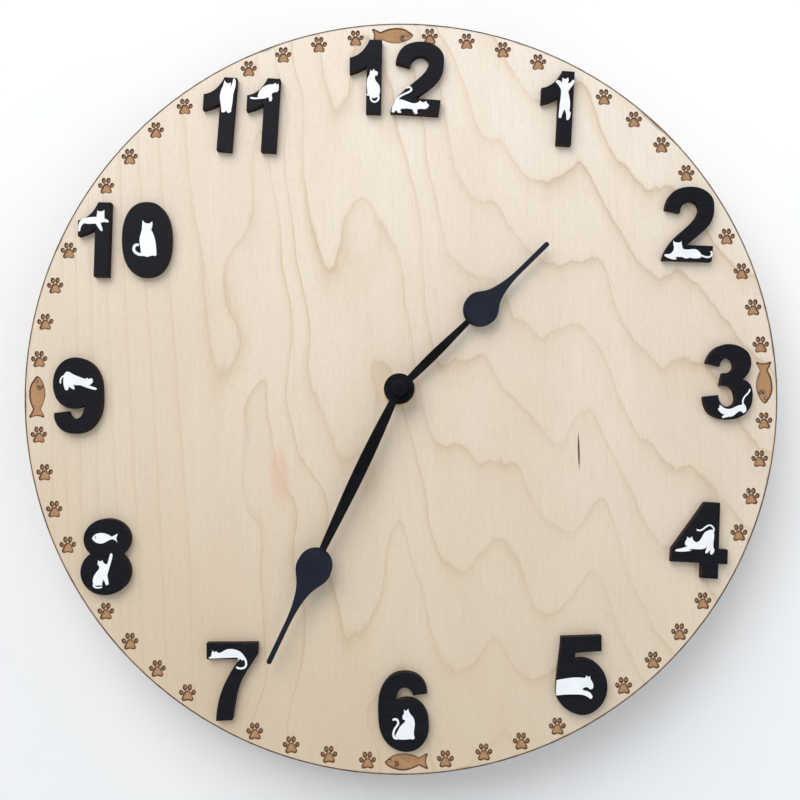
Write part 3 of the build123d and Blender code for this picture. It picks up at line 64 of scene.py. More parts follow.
# ---------------------------------------------------------------- building node trees
class Tree:
    """Adds shader nodes to a tree. Each call links or sets the inputs in order and gives an output."""

    def __init__(self, tree):
        self.tree = tree

    def feed(self, socket, value):
        """Links an output to an input, or sets the input to a number, a vector or a colour."""
        if isinstance(value, bpy.types.NodeSocket):
            self.tree.links.new(value, socket)
        else:
            socket.default_value = value

    def add(self, kind, *inputs, out=0, **settings):
        """A node of a kind, with its settings. An input given as None stays as it is."""
        node = self.tree.nodes.new("ShaderNode" + kind)
        for name, value in settings.items():
            setattr(node, name, value)
        for slot, value in enumerate(inputs):
            if value is not None:
                self.feed(node.inputs[slot], value)
        return node.outputs[out]

    def math(self, operation, *inputs, clamp=False):
        """One sum on numbers."""
        return self.add("Math", *inputs, operation=operation, use_clamp=clamp)

    def sum(self, *values):
        """All the values added up."""
        total = values[0]
        for value in values[1:]:
            total = self.math("ADD", total, value)
        return total

    def times(self, *values):
        """All the values multiplied together."""
        product = values[0]
        for value in values[1:]:
            product = self.math("MULTIPLY", product, value)
        return product

    def vector(self, operation, *inputs):
        """One sum on vectors."""
        return self.add("VectorMath", *inputs, operation=operation)

    def stretch(self, vector, x, y, z, place=(0, 0, 0), turn=(0, 0, 0)):
        """The vector scaled along each axis, turned and then moved."""
        return self.add("Mapping", vector, place, turn, (x, y, z))

    def noise(self, vector, scale=1.0, detail=2.0, roughness=0.5, distortion=0.0):
        """Smooth noise between 0 and 1, mostly about 0.5."""
        return self.add("TexNoise", vector, None, scale, detail, roughness, None, None, None, distortion)

    def span(self, value, low, high, to_low=0.0, to_high=1.0, smooth=True):
        """The value carried from one range to another and kept inside it."""
        kind = "SMOOTHSTEP" if smooth else "LINEAR"
        return self.add("MapRange", value, low, high, to_low, to_high, interpolation_type=kind)

    def mix(self, share, first, second, blend="MIX"):
        """Two colours blended by a share."""
        node = self.tree.nodes.new("ShaderNodeMix")
        node.data_type = "RGBA"
        node.blend_type = blend
        self.feed(node.inputs[0], share)
        for slot, colour in ((6, first), (7, second)):
            self.feed(node.inputs[slot], (*colour, 1.0) if isinstance(colour, tuple) else colour)
        return node.outputs[2]

    def ramp(self, value, stops):
        """A curve through (place, height) stops, joined by straight lines."""
        node = self.tree.nodes.new("ShaderNodeValToRGB")
        self.tree.links.new(value, node.inputs[0])
        marks = node.color_ramp.elements
        while len(marks) < len(stops):
            marks.new(0.5)
        for mark, (place, grey) in zip(marks, stops):
            mark.position = place
            mark.color = (grey, grey, grey, 1.0)
        return node.outputs[0]

    def parts(self, vector):
        """The three numbers of a vector."""
        node = self.tree.nodes.new("ShaderNodeSeparateXYZ")
        self.tree.links.new(vector, node.inputs[0])
        return node.outputs

    def oval(self, x, z, centre, half_axes):
        """0 at an ellipse's centre and 1 on its edge."""
        across = self.math("DIVIDE", self.math("SUBTRACT", x, centre[0]), half_axes[0])
        up = self.math("DIVIDE", self.math("SUBTRACT", z, centre[1]), half_axes[1])
        return self.math("SQRT", self.sum(self.times(across, across), self.times(up, up)))

    def radius(self, x, z):
        """The distance from the hands' axis."""
        return self.oval(x, z, (0.0, 0.0), (1.0, 1.0))

    def near_walls(self, reach, samples, inside=False):
        """1 on an open face and less near a wall of the same piece, within a reach in millimetres. Inside
        looks down into the piece, and so finds where little is left of it."""
        return self.add("AmbientOcclusion", (1.0, 1.0, 1.0, 1.0), reach * MM, out=1, samples=samples,
                        only_local=True, inside=inside)

    def use(self, group, *inputs):
        """A shader node group's outputs, given its inputs."""
        node = self.tree.nodes.new("ShaderNodeGroup")
        node.node_tree = group
        for slot, value in enumerate(inputs):
            self.feed(node.inputs[slot], value)
        return node.outputs


def new_group(name, inputs, outputs):
    """An empty shader node group with named sockets: its tree, its input sockets and a function that links
    its outputs in order and gives the group."""
    group = bpy.data.node_groups.new(name, "ShaderNodeTree")
    for label, kind, value in inputs:
        socket = group.interface.new_socket(label, in_out="INPUT", socket_type="NodeSocket" + kind)
        if value is not None:
            socket.default_value = value
    for label, kind in outputs:
        group.interface.new_socket(label, in_out="OUTPUT", socket_type="NodeSocket" + kind)
    last = group.nodes.new("NodeGroupOutput")

    def give(*values):
        """Links values to the group's outputs in order."""
        for slot, value in enumerate(values):
            group.links.new(value, last.inputs[slot])
        return group

    return Tree(group), group.nodes.new("NodeGroupInput").outputs, give


# ---------------------------------------------------------------- effects that several finishes share
def make_fibre():
    """Fine wood fibre along Z: long thin streaks and short ones, which are noises drawn out along Z, and
    dark pores a millimetre or two long, which are the peaks of a third noise."""
    t, (vector, *_), give = new_group(
        "Fibre", [("Vector", "Vector", None)], [("Streak", "Float"), ("Pore", "Float")])
    long_fibre = t.noise(t.stretch(vector, 2.6, 0.5, 0.05), detail=3.0, roughness=0.6)
    short_fibre = t.noise(t.stretch(vector, 3.6, 0.8, 0.30), detail=4.0, roughness=0.7)
    pore = t.noise(t.stretch(vector, 3.4, 1.0, 0.42), detail=1.0)
    streak = t.sum(t.times(long_fibre, 0.45), t.times(short_fibre, 0.55))
    return give(streak, t.span(pore, 0.66, 0.74))


# Tall arches in the growth lines: each one's place along X, its half width, and how many lines it lifts.
ARCHES = ((-50.0, 12.0, 1.5), (1.0, 12.0, 1.1), (41.0, 9.0, 0.35), (76.0, 10.0, 0.5))


def make_growth_lines():
    """Growth lines of rotary-cut birch: the level lines of a slope, one for each whole step of its height.

    The slope climbs to the right, and near the left edge it also falls away as a square. It climbs along Z
    too, hardly on the left, where the lines stand upright, and more on the right, where they lean over.
    A bell curve taken off the slope at each arch lifts the lines there, and a slow noise sways the arches
    from side to side. Two broader noises bend the lines, least on the calm left, and a fine one makes them
    ragged. Each line is a thin dark rise at the top of its step, over a wide soft halo, and both fade in
    places and towards the left edge."""
    t, (vector, *_), give = new_group(
        "Growth lines", [("Vector", "Vector", None)], [("Line", "Float"), ("Halo", "Float")])
    x, _, z = t.parts(vector)
    lean = t.span(x, -70.0, 70.0, 0.005, 0.030)
    past_left = t.math("MINIMUM", t.sum(x, 62.0), 0.0)
    climb = t.math("SUBTRACT", t.times(x, 0.026), t.times(past_left, past_left, 0.0011))
    height = t.sum(t.times(lean, z), climb)

    sway = t.noise(t.stretch(vector, 1 / 60, 1 / 90, 1 / 55, place=(0.4, 0, 2.2)), detail=1.0)
    swayed = t.sum(x, t.span(sway, 0.25, 0.75, -9.0, 9.0, smooth=False))
    for centre, half_width, lines in ARCHES:
        reach = t.math("DIVIDE", t.math("SUBTRACT", swayed, centre), half_width)
        bell = t.math("EXPONENT", t.times(reach, reach, -1.0))
        height = t.math("SUBTRACT", height, t.times(bell, lines))

    broad = t.noise(t.stretch(vector, 1 / 34, 1 / 90, 1 / 210, place=(3.1, 0, 1.7)), detail=0.0)
    zigzag = t.noise(t.stretch(vector, 1 / 15, 1 / 60, 1 / 70, place=(7.3, 0, 4.1)), detail=1.0,
                     roughness=0.4)
    ragged = t.noise(t.stretch(vector, 1 / 2.6, 1 / 9, 1 / 9), detail=2.0, roughness=0.6)
    bends = t.sum(t.times(broad, 1.5), t.times(zigzag, 0.7), -1.1)
    height = t.sum(height, t.times(bends, t.span(x, -110.0, -25.0, 0.25, 1.0)), t.times(ragged, 0.13))

    patches = t.noise(t.stretch(vector, 1 / 45, 1 / 45, 1 / 80, place=(0, 0, 9.0)))
    strength = t.times(t.span(patches, 0.3, 0.62, 0.3, 1.0), t.span(x, -95.0, -45.0, 0.45, 1.0))
    step = t.math("FRACT", height)
    line = t.ramp(step, [(0.0, 0.25), (0.02, 0.0), (0.86, 0.0), (0.945, 0.4), (0.98, 1.0), (1.0, 0.3)])
    halo = t.ramp(step, [(0.0, 0.5), (0.08, 0.0), (0.62, 0.0), (0.97, 1.0), (1.0, 0.55)])
    return give(t.times(line, strength), t.times(halo, strength))


def make_scorch():
    """Laser-cut plywood seen on its cut edge: plies in two browns by turns along Y, under uneven char."""
    ply_thickness = (BOARD_BACK - BOARD_FRONT) / PLIES
    t, (vector, *_), give = new_group(
        "Scorched edge", [("Vector", "Vector", None)], [("Colour", "Color"), ("Char", "Float")])
    _, y, _ = t.parts(vector)
    ply = t.math("PINGPONG", t.math("DIVIDE", t.math("SUBTRACT", y, BOARD_BACK), ply_thickness), 1.0)
    char = t.noise(t.stretch(vector, 0.22, 1.6, 0.22), detail=3.0, roughness=0.65)
    wood = t.mix(t.span(ply, 0.35, 0.65), (0.072, 0.030, 0.013), (0.16, 0.078, 0.036))
    return give(t.mix(t.span(char, 0.35, 0.7), wood, (0.020, 0.010, 0.006)), char)


def make_speckle():
    """A fine moulded, sprayed or cast skin: small even grains over a broad, faint unevenness."""
    t, (vector, grain, *_), give = new_group(
        "Speckle", [("Vector", "Vector", None), ("Grain", "Float", 4.0)],
        [("Grain", "Float"), ("Broad", "Float")])
    return give(t.noise(vector, grain, detail=3.0, roughness=0.6), t.noise(vector, 0.11, detail=2.0))


def make_dust():
    """Dust that settles on faces that look up, thicker in some places."""
    t, (vector, *_), give = new_group("Dust", [("Vector", "Vector", None)], [("Mask", "Float")])
    up = t.span(t.parts(t.add("NewGeometry", out=1))[2], 0.35, 0.95)
    thickness = t.noise(vector, 0.9, detail=4.0, roughness=0.7)
    return give(t.times(up, t.span(thickness, 0.35, 0.75)))


FIBRE = make_fibre()
GROWTH = make_growth_lines()
SCORCH = make_scorch()
SPECKLE = make_speckle()
DUST = make_dust()


# ---------------------------------------------------------------- materials
def blank(name):
    """A new empty material: the material, its tree and the place on the piece in millimetres."""
    material = bpy.data.materials.new(name)
    material.use_nodes = True
    material.node_tree.nodes.clear()
    t = Tree(material.node_tree)
    return material, t, t.stretch(t.add("TexCoord", out=3), 1 / MM, 1 / MM, 1 / MM)


def to_output(material, shader_output):
    """Joins a shader to the material's output, and gives the material."""
    tree = material.node_tree
    tree.links.new(shader_output, tree.nodes.new("ShaderNodeOutputMaterial").inputs[0])
    return material


def finish(name, **constants):
    """A new finish: its tree, the place on the piece in millimetres and a function that joins up its shader.
    The constants are set on the shader's own sockets."""
    material, t, place = blank(name)
    shader = t.tree.nodes.new("ShaderNodeBsdfPrincipled")
    for socket, value in constants.items():
        shader.inputs[socket.replace("_", " ")].default_value = value

    def join(colour, roughness, height, depth, metallic=None):
        """Colour, roughness and a bump of so many millimetres go to the shader."""
        t.feed(shader.inputs["Base Color"], colour)
        t.feed(shader.inputs["Roughness"], roughness)
        t.feed(shader.inputs["Normal"], t.add("Bump", 1.0, depth * MM, None, height))
        if metallic is not None:
            t.feed(shader.inputs["Metallic"], metallic)
        return to_output(material, shader.outputs[0])

    return t, place, join


def facing_front(t):
    """How much a face looks to the front or the back: 1 straight on, 0 for a side."""
    return t.parts(t.vector("ABSOLUTE", t.add("NewGeometry", out=1)))[1]


def birch_veneer(t, place, x, z, fibre, growth):
    """Pale sanded birch in two tones, with painted shade that makes it yellower and darker towards its lower
    left, and darker along fibre, pores and growth lines."""
    streak, pore = fibre
    line, halo = growth
    tone = t.noise(t.stretch(place, 1 / 38, 1 / 60, 1 / 95), detail=2.0)
    wood = t.mix(t.span(tone, 0.35, 0.65), (0.85, 0.758, 0.650), (0.812, 0.706, 0.592))
    # painted shade: the veneer turns yellower and darker towards the lower left, standing in for light
    # falling off across the board
    painted_shade_slope = t.sum(z, t.times(x, 0.365))
    wood = t.mix(t.span(painted_shade_slope, 125.0, -150.0, 0.0, 0.60, smooth=False), wood, (0.506, 0.379, 0.212))
    wood = t.mix(t.times(halo, 0.46), wood, (0.655, 0.510, 0.325))
    wood = t.mix(t.times(line, 0.54), wood, (0.48, 0.335, 0.19))
    wood = t.mix(t.span(streak, 0.36, 0.64, 0.20, 0.0), wood, (0.50, 0.37, 0.26))
    return t.mix(t.times(pore, 0.16), wood, (0.40, 0.27, 0.17))


def birch_plywood():
    """Birch plywood: a veneer on each side, burnt marks sunk in its front and a burnt cut edge. The rear
    veneer is another stretch of the same wood, so its growth lines differ."""
    t, place, join = finish("Birch plywood", Specular_IOR_Level=0.32)
    x, y, z = t.parts(place)
    rear = t.span(y, BOARD_FRONT + 2.5, BOARD_FRONT + 2.6)
    on_front = t.span(y, BOARD_FRONT + 0.8, BOARD_FRONT + 1.0, 1.0, 0.0)
    rear_shift = (-38.0, 0.0, 210.0)
    along_wood = t.vector("MULTIPLY_ADD", t.add("CombineXYZ", rear, rear, rear), rear_shift, place)
    line, halo = t.use(GROWTH, along_wood)
    streak, pore = t.use(FIBRE, along_wood)
    wood = birch_veneer(t, along_wood, x, z, (streak, pore), (line, halo))

    # a pinkish fleck of bark with a ragged outline, and a short dark slit
    ragged = t.noise(t.stretch(place, 0.35, 0.1, 0.12), detail=3.0)
    fleck = t.span(t.sum(t.oval(x, z, *BARK_FLECK), t.times(ragged, 1.2)), 1.0, 1.7, 0.38, 0.0)
    wood = t.mix(t.times(fleck, on_front), wood, (0.70, 0.40, 0.27))
    slit = t.span(t.oval(x, z, *DARK_SLIT), 0.5, 1.1, 0.95, 0.0)
    wood = t.mix(t.times(slit, on_front), wood, (0.075, 0.028, 0.013))

    # the laser's marks: a sunk, mottled tan floor, burnt where it meets its wall
    sunk = t.times(t.span(y, BOARD_FRONT + 0.03, BOARD_FRONT + 0.12), on_front)
    mottle = t.noise(t.stretch(place, 0.9, 0.5, 2.6), detail=3.0, roughness=0.7)
    floor = t.mix(t.span(mottle, 0.3, 0.7), (0.50, 0.285, 0.140), (0.36, 0.190, 0.088))
    corner = t.span(t.near_walls(1.0, samples=12), 0.76, 0.96, 1.0, 0.0)
    wood = t.mix(sunk, wood, t.mix(corner, floor, (0.090, 0.030, 0.010)))

    # the face beside a mark, and thin wood left standing inside one, is scorched too
    thin = t.span(t.near_walls(0.45, samples=8, inside=True), 0.45, 0.85, 0.72, 0.0)
    wood = t.mix(t.times(thin, t.math("SUBTRACT", on_front, sunk, clamp=True)), wood, (0.120, 0.042, 0.015))

    # the burnt edge creeps a little way onto the faces, further in some places
    radius = t.radius(x, z)
    creep = t.noise(t.stretch(place, 0.035, 0.0, 0.035, place=(2.0, 0, 5.0)), detail=3.0, roughness=0.75)
    crept = t.sum(radius, t.span(creep, 0.48, 0.72, 0.0, 1.1))
    wood = t.mix(t.span(crept, BOARD_RADIUS - 0.9, BOARD_RADIUS + 0.4, 0.0, 0.72), wood, (0.22, 0.11, 0.05))
    burnt, char = t.use(SCORCH, place)
    cut = t.span(radius, BOARD_RADIUS - 0.62, BOARD_RADIUS - 0.42)
    roughness = t.sum(t.span(streak, 0.3, 0.7, 0.50, 0.62), t.times(sunk, 0.2))
    height = t.sum(streak, t.times(pore, -0.8), t.times(line, 0.5), t.times(char, cut),
                   t.times(mottle, sunk))
    return join(t.mix(cut, wood, burnt), roughness, height, depth=0.03)


def black_paint():
    """Satin black over laser-cut ply: fibre across the face shows through, the cut sides are charred, and
    the paint is rubbed thin on the small chamfer between them, which slants halfway."""
    t, place, join = finish("Black painted plywood", Specular_IOR_Level=0.11)
    front = facing_front(t)
    streak, pore = t.use(FIBRE, t.stretch(place, 1.0, 1.0, 1.0, turn=(0, radians(90), 0)))
    grain, broad = t.use(SPECKLE, place, 3.0)
    paint = t.mix(t.span(streak, 0.3, 0.7), (0.0020, 0.0024, 0.0040), (0.0110, 0.0125, 0.0185))
    paint = t.mix(t.times(t.use(DUST, place)[0], 0.10), paint, (0.30, 0.27, 0.24))
    burnt, char = t.use(SCORCH, place)
    side = t.span(front, 0.25, 0.5, 1.0, 0.0)
    colour = t.mix(side, paint, t.mix(0.72, burnt, (0.012, 0.007, 0.005)))
    off_chamfer = t.math("ABSOLUTE", t.math("SUBTRACT", front, 0.71))
    rubbed = t.times(t.span(off_chamfer, 0.1, 0.3, 1.0, 0.0), t.span(grain, 0.45, 0.65))
    colour = t.mix(t.times(rubbed, 0.35), colour, (0.10, 0.06, 0.035))
    roughness = t.sum(t.span(streak, 0.3, 0.7, 0.40, 0.56), t.times(side, 0.28), t.times(broad, 0.06))
    height = t.sum(t.times(streak, 1.6), t.times(pore, -0.7), t.times(grain, 0.25), char)
    return join(colour, roughness, height, depth=0.035)


def white_acrylic():
    """Bluish-white sheet, flat and crisp: a faint mottle, and a slightly matt cut side."""
    t, place, join = finish("White acrylic", Specular_IOR_Level=0.5)
    grain, broad = t.use(SPECKLE, place, 1.6)
    colour = t.mix(t.span(broad, 0.35, 0.65), (0.80, 0.835, 0.87), (0.87, 0.89, 0.91))
    colour = t.mix(t.span(facing_front(t), 0.3, 0.6, 0.45, 0.0), colour, (0.52, 0.55, 0.58))
    return join(colour, t.span(grain, 0.3, 0.7, 0.28, 0.42), grain, depth=0.006)


def black_metal():
    """Black powder-coated stamped sheet: a fine orange-peel skin, worn thin on the sheared edge, and a
    painted sheen that makes each hand lighter and bluer from its drop to its tip."""
    t, place, join = finish("Black coated metal", Specular_IOR_Level=0.09)
    x, _, z = t.parts(place)
    grain, broad = t.use(SPECKLE, place, 5.0)
    # painted sheen: each hand is lighter and bluer from its drop to its tip, standing in for a highlight
    outer = 0.0
    for drop_at, bearing in DROPS:
        along = t.sum(t.times(x, sin(radians(bearing))), t.times(z, cos(radians(bearing))))
        outer = t.math("MAXIMUM", outer, t.span(along, drop_at - 8.0, drop_at - 4.0))
    coat_and_sheen = t.mix(outer, (0.0012, 0.0013, 0.0020), (0.0115, 0.0150, 0.0250))
    colour = t.mix(t.span(broad, 0.35, 0.65), coat_and_sheen, (0.004, 0.0045, 0.006), "ADD")
    worn = t.times(t.span(facing_front(t), 0.15, 0.9, 1.0, 0.0), t.span(grain, 0.55, 0.72))
    colour = t.mix(t.times(worn, 0.35), colour, (0.09, 0.095, 0.11))
    colour = t.mix(t.times(t.use(DUST, place)[0], 0.12), colour, (0.30, 0.29, 0.28))
    return join(colour, t.span(grain, 0.3, 0.7, 0.44, 0.60), grain, depth=0.012)


def turned_metal(name, light, dark, low, high, pitch=0.09):
    """A turned or rolled metal: fine rings about the hands' axis, with a mottled, duller film. Its roughness
    swings from low to high across each ring."""
    t, place, join = finish(name, Metallic=1.0)
    x, _, z = t.parts(place)
    grain, broad = t.use(SPECKLE, place, 2.2)
    rings = t.math("SINE", t.times(t.sum(t.radius(x, z), t.times(grain, 0.12)), 2 * pi / pitch))
    film = t.span(t.sum(broad, t.times(grain, 0.4)), 0.55, 0.85)
    roughness = t.sum(t.span(rings, -1.0, 1.0, low, high), t.times(film, 0.12))
    return join(t.mix(film, light, dark), roughness, t.sum(rings, grain), depth=0.004)


def zinc_plate():
    """Zinc-plated sheet: a spangle of broad crystals, fine brushing along X and small scratches."""
    t, place, join = finish("Zinc-plated steel", Metallic=1.0)
    crystal = t.parts(t.add("TexVoronoi", place, None, 0.32, out=1))[0]
    brush = t.noise(t.stretch(place, 0.12, 2.5, 6.0), detail=3.0)
    scratch = t.span(t.noise(t.stretch(place, 0.25, 0.25, 5.0, turn=(0, 0.6, 0)), detail=1.0), 0.68, 0.72)
    colour = t.mix(crystal, (0.50, 0.53, 0.56), (0.64, 0.66, 0.67))
    colour = t.mix(t.times(scratch, 0.5), colour, (0.80, 0.81, 0.82))
    roughness = t.sum(t.span(brush, 0.3, 0.7, 0.26, 0.44), t.times(crystal, 0.08))
    return join(colour, roughness, t.math("SUBTRACT", brush, scratch), depth=0.006)


def moulded(name, light, dark, low, high, grain_scale=5.0, dusty=0.25, depth=0.02):
    """Moulded plastic or rubber: a fine spark-eroded skin, faint flow marks and some dust on top. Its
    roughness goes from low to high with the grain."""
    t, place, join = finish(name, Specular_IOR_Level=0.5)
    grain, broad = t.use(SPECKLE, place, grain_scale)
    flow = t.noise(t.stretch(place, 0.05, 0.2, 0.3, turn=(0, 0.4, 0)), detail=2.0, distortion=1.2)
    colour = t.mix(t.span(t.sum(broad, t.times(flow, 0.5)), 0.5, 1.0), light, dark)
    colour = t.mix(t.times(t.use(DUST, place)[0], dusty), colour, (0.42, 0.40, 0.37))
    roughness = t.sum(t.span(grain, 0.3, 0.7, low, high), t.times(flow, 0.08))
    return join(colour, roughness, grain, depth=depth)


def magnet():
    """Sintered black ferrite: dark grey with small bright grains."""
    t, place, join = finish("Sintered magnet", Metallic=0.35)
    grain, broad = t.use(SPECKLE, place, 9.0)
    colour = t.mix(t.span(grain, 0.5, 0.75), (0.022, 0.022, 0.025), (0.10, 0.10, 0.11))
    return join(colour, t.span(broad, 0.3, 0.7, 0.42, 0.6), grain, depth=0.03)


def copper_wire():
    """Enamelled copper: reddish-brown, with slow changes of tone along the wire."""
    t, place, join = finish("Enamelled copper wire", Metallic=0.85, Coat_Weight=0.5, Coat_Roughness=0.15)
    grain, broad = t.use(SPECKLE, place, 1.2)
    tone = t.span(t.sum(grain, broad), 0.75, 1.25)
    colour = t.mix(tone, (0.48, 0.155, 0.055), (0.66, 0.27, 0.11))
    return join(colour, t.span(tone, 0.0, 1.0, 0.24, 0.36), grain, depth=0.004)


def circuit_board():
    """Brown phenolic board with a paper-like mottle. Its side towards the wall has green lacquer over
    copper tracks, which run straight and bend at the middle of the board."""
    t, place, join = finish("Circuit board", Specular_IOR_Level=0.5)
    x, y, z = t.parts(place)
    grain, broad = t.use(SPECKLE, place, 3.0)
    bend = t.sum(z, t.times(t.math("ABSOLUTE", t.sum(x, 18.0)), 0.6))
    track = t.span(t.math("SINE", t.times(bend, 2 * pi / 2.4)), 0.45, 0.6)
    lacquer = t.mix(t.span(broad, 0.35, 0.65), (0.018, 0.115, 0.048), (0.030, 0.16, 0.066))
    lacquer = t.mix(t.times(track, 0.6), lacquer, (0.10, 0.30, 0.10))
    bare = t.mix(t.span(grain, 0.3, 0.7), (0.30, 0.165, 0.07), (0.42, 0.25, 0.12))
    colour = t.mix(t.span(y, -3.9, -3.3), bare, lacquer)
    return join(colour, t.span(grain, 0.3, 0.7, 0.34, 0.5), t.sum(grain, track), depth=0.02)


def battery_sleeve(low, high, middle):
    """A plain dry cell along X: a green sleeve with a pale band, a plus and a minus sign near its ends, and
    bright steel end caps."""
    t, place, join = finish("Battery sleeve", Specular_IOR_Level=0.5)
    x, _, z = t.parts(place)
    grain, broad = t.use(SPECKLE, place, 2.0)

    def bar(centre, half_across, half_up):
        """1 inside a small rectangle on the cell's middle line, with a soft edge."""
        inside = []
        for value, at, half in ((x, centre, half_across), (z, middle, half_up)):
            away = t.math("ABSOLUTE", t.math("SUBTRACT", value, at))
            inside.append(t.span(away, half, half + 0.08, 1.0, 0.0))
        return t.times(*inside)

    plus = t.math("MAXIMUM", bar(high - 6.0, 1.5, 0.35), bar(high - 6.0, 0.35, 1.5))
    signs = t.math("MAXIMUM", plus, bar(low + 6.0, 0.35, 1.5))
    band = t.times(t.span(x, high - 12.0, high - 11.8), t.span(x, high - 10.2, high - 10.0, 1.0, 0.0))
    sleeve = t.mix(t.span(broad, 0.35, 0.65), (0.012, 0.085, 0.055), (0.020, 0.12, 0.078))
    sleeve = t.mix(t.math("MAXIMUM", band, signs), sleeve, (0.72, 0.71, 0.66))
    cap = t.math("MAXIMUM", t.span(x, high - 0.55, high - 0.45), t.span(x, low + 0.45, low + 0.55, 1.0, 0.0))
    steel = t.mix(t.span(grain, 0.3, 0.7), (0.52, 0.53, 0.54), (0.66, 0.67, 0.68))
    roughness = t.sum(t.span(grain, 0.3, 0.7, 0.24, 0.36), t.times(cap, 0.04))
    return join(t.mix(cap, sleeve, steel), roughness, grain, depth=0.006, metallic=cap)


def box_mm(node):
    """The two far corners of a CAD node, in millimetres."""
    return tuple(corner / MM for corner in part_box(node))


CELL_LOW, CELL_HIGH = box_mm("battery")
CELL_NUB_LENGTH = 1.0
CELL_SHOULDER = CELL_HIGH[0] - CELL_NUB_LENGTH
FINISHES = {
    "birch_plywood": birch_plywood(),
    "black_paint": black_paint(),
    "white_acrylic": white_acrylic(),
    "black_metal": black_metal(),
    "brass": turned_metal("Turned brass", (0.84, 0.68, 0.40), (0.60, 0.44, 0.22), 0.24, 0.38),
    "rubber": moulded("Black rubber", (0.020, 0.020, 0.021), (0.034, 0.033, 0.032), 0.70, 0.86,
                      grain_scale=2.5, dusty=0.5, depth=0.03),
    "zinc_steel": zinc_plate(),
    "black_plastic": moulded("Black moulded plastic", (0.012, 0.012, 0.013), (0.022, 0.022, 0.023),
                             0.40, 0.58, grain_scale=6.0, dusty=0.22, depth=0.025),
    "clear_white_plastic": moulded("Milky acetal", (0.72, 0.73, 0.72), (0.60, 0.61, 0.60), 0.26, 0.38,
                                   grain_scale=3.0, dusty=0.05, depth=0.006),
    "white_plastic": moulded("White acetal", (0.80, 0.80, 0.78), (0.70, 0.69, 0.66), 0.30, 0.44,
                             grain_scale=4.0, dusty=0.05, depth=0.008),
    "magnet": magnet(),
    "core_steel": turned_metal("Core steel", (0.50, 0.50, 0.52), (0.30, 0.30, 0.31), 0.30, 0.46, pitch=0.2),
    "copper_wire": copper_wire(),
    "circuit_board": circuit_board(),
    "battery_sleeve": battery_sleeve(CELL_LOW[0], CELL_SHOULDER, (CELL_LOW[2] + CELL_HIGH[2]) / 2),
}
SLOT_OF = {part["node"]: part["material_slot"] for part in frame["record"]["subparts"]}
for node, slot in SLOT_OF.items():
    for holder in frame["nodes"][node].material_slots:
        holder.material = FINISHES[slot]


# ---------------------------------------------------------------- turned and wound pieces
FORWARDS, BACKWARDS, RIGHT, UP = (0, -1, 0), (0, 1, 0), (1, 0, 0), (0, 0, 1)


def turned(profile, axis, across, up, centre, around):
    """A surface of revolution as a grid of points: each (distance, radius) of the profile, swept round a
    line along axis. Rows follow the profile and columns go round."""
    angle = np.linspace(0, 2 * pi, around, endpoint=False)
    ring = np.cos(angle)[:, None] * np.array(across) + np.sin(angle)[:, None] * np.array(up)
    along = np.array(profile)[:, 0, None, None] * np.array(axis)
    return np.array(centre) + along + np.array(profile)[:, 1, None, None] * ring


def rounded(start, corner, end, radius, steps=6):
    """The points of a bend from one straight run to another: a quadratic curve that leaves each run at a
    radius from their corner."""
    start, corner, end = (np.array(point, float) for point in (start, corner, end))
    first = corner + (start - corner) / np.linalg.norm(start - corner) * radius
    last = corner + (end - corner) / np.linalg.norm(end - corner) * radius
    share = np.linspace(0, 1, steps)[:, None]
    return (1 - share) ** 2 * first + 2 * share * (1 - share) * corner + share ** 2 * last


def outwards(mesh):
    """Turns a closed mesh's faces outwards: its signed volume, summed over its triangles, is positive."""
    mesh.calc_loop_triangles()
    corners = np.empty(len(mesh.loop_triangles) * 3, np.int32)
    mesh.loop_triangles.foreach_get("vertices", corners)
    places = np.empty(len(mesh.vertices) * 3)
    mesh.vertices.foreach_get("co", places)
    a, b, c = np.moveaxis(places.reshape(-1, 3)[corners.reshape(-1, 3)], 1, 0)
    if np.einsum("ij,ij->i", a, np.cross(b, c)).sum() < 0:
        mesh.flip_normals()


def stand_in(name, points, node, body, closed_along=False):
    """A mesh from a turned grid of points, which rides on a body in place of a CAD node. Each cell is one
    quad, the columns close round, and an open run of rows is closed by a face at each end."""
    rows, columns = points.shape[:2]
    index = np.arange(rows * columns).reshape(rows, columns)
    below = np.roll(index, -1, axis=0) if closed_along else index[1:]
    above = index if closed_along else index[:-1]
    quads = np.stack([above, np.roll(above, -1, 1), np.roll(below, -1, 1), below], axis=-1)
    faces = quads.reshape(-1, 4).tolist()
    if not closed_along:
        faces += [index[0, ::-1].tolist(), index[-1].tolist()]
    mesh = bpy.data.meshes.new(name)
    mesh.from_pydata(points.reshape(-1, 3) * MM, [], faces)
    outwards(mesh)
    mesh.shade_smooth()
    mesh.materials.append(FINISHES[SLOT_OF[node]])
    piece = bpy.data.objects.new(name, mesh)
    bpy.context.scene.collection.objects.link(piece)
    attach(piece, body)
    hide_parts(node)


def cap_nut():
    """The cap nut, turned about the hands' axis: from the floor of its blind hole, out over its back and up
    its rim to a face that is softly domed by a square law."""
    radius, hole, hole_depth, dome = 3.25, 1.4, 1.8, 0.08
    front, back = (-corner[1] for corner in box_mm("cap_nut"))
    face = [(front - dome * (at / radius) ** 2, at) for at in np.linspace(2.4, 0.1, 8)]
    profile = np.concatenate([
        [(back + hole_depth, 0.3), (back + hole_depth, hole), (back, hole)],
        rounded((back, hole), (back, radius), (front, radius), 0.12, 4),
        rounded((back, radius), (front - dome, radius), (front, 0.0), 0.75, 10),
        face,
    ])
    stand_in("cap_nut_turned", turned(profile, FORWARDS, RIGHT, UP, (0, 0, 0), 96), "cap_nut",
             "minute_hand_set")


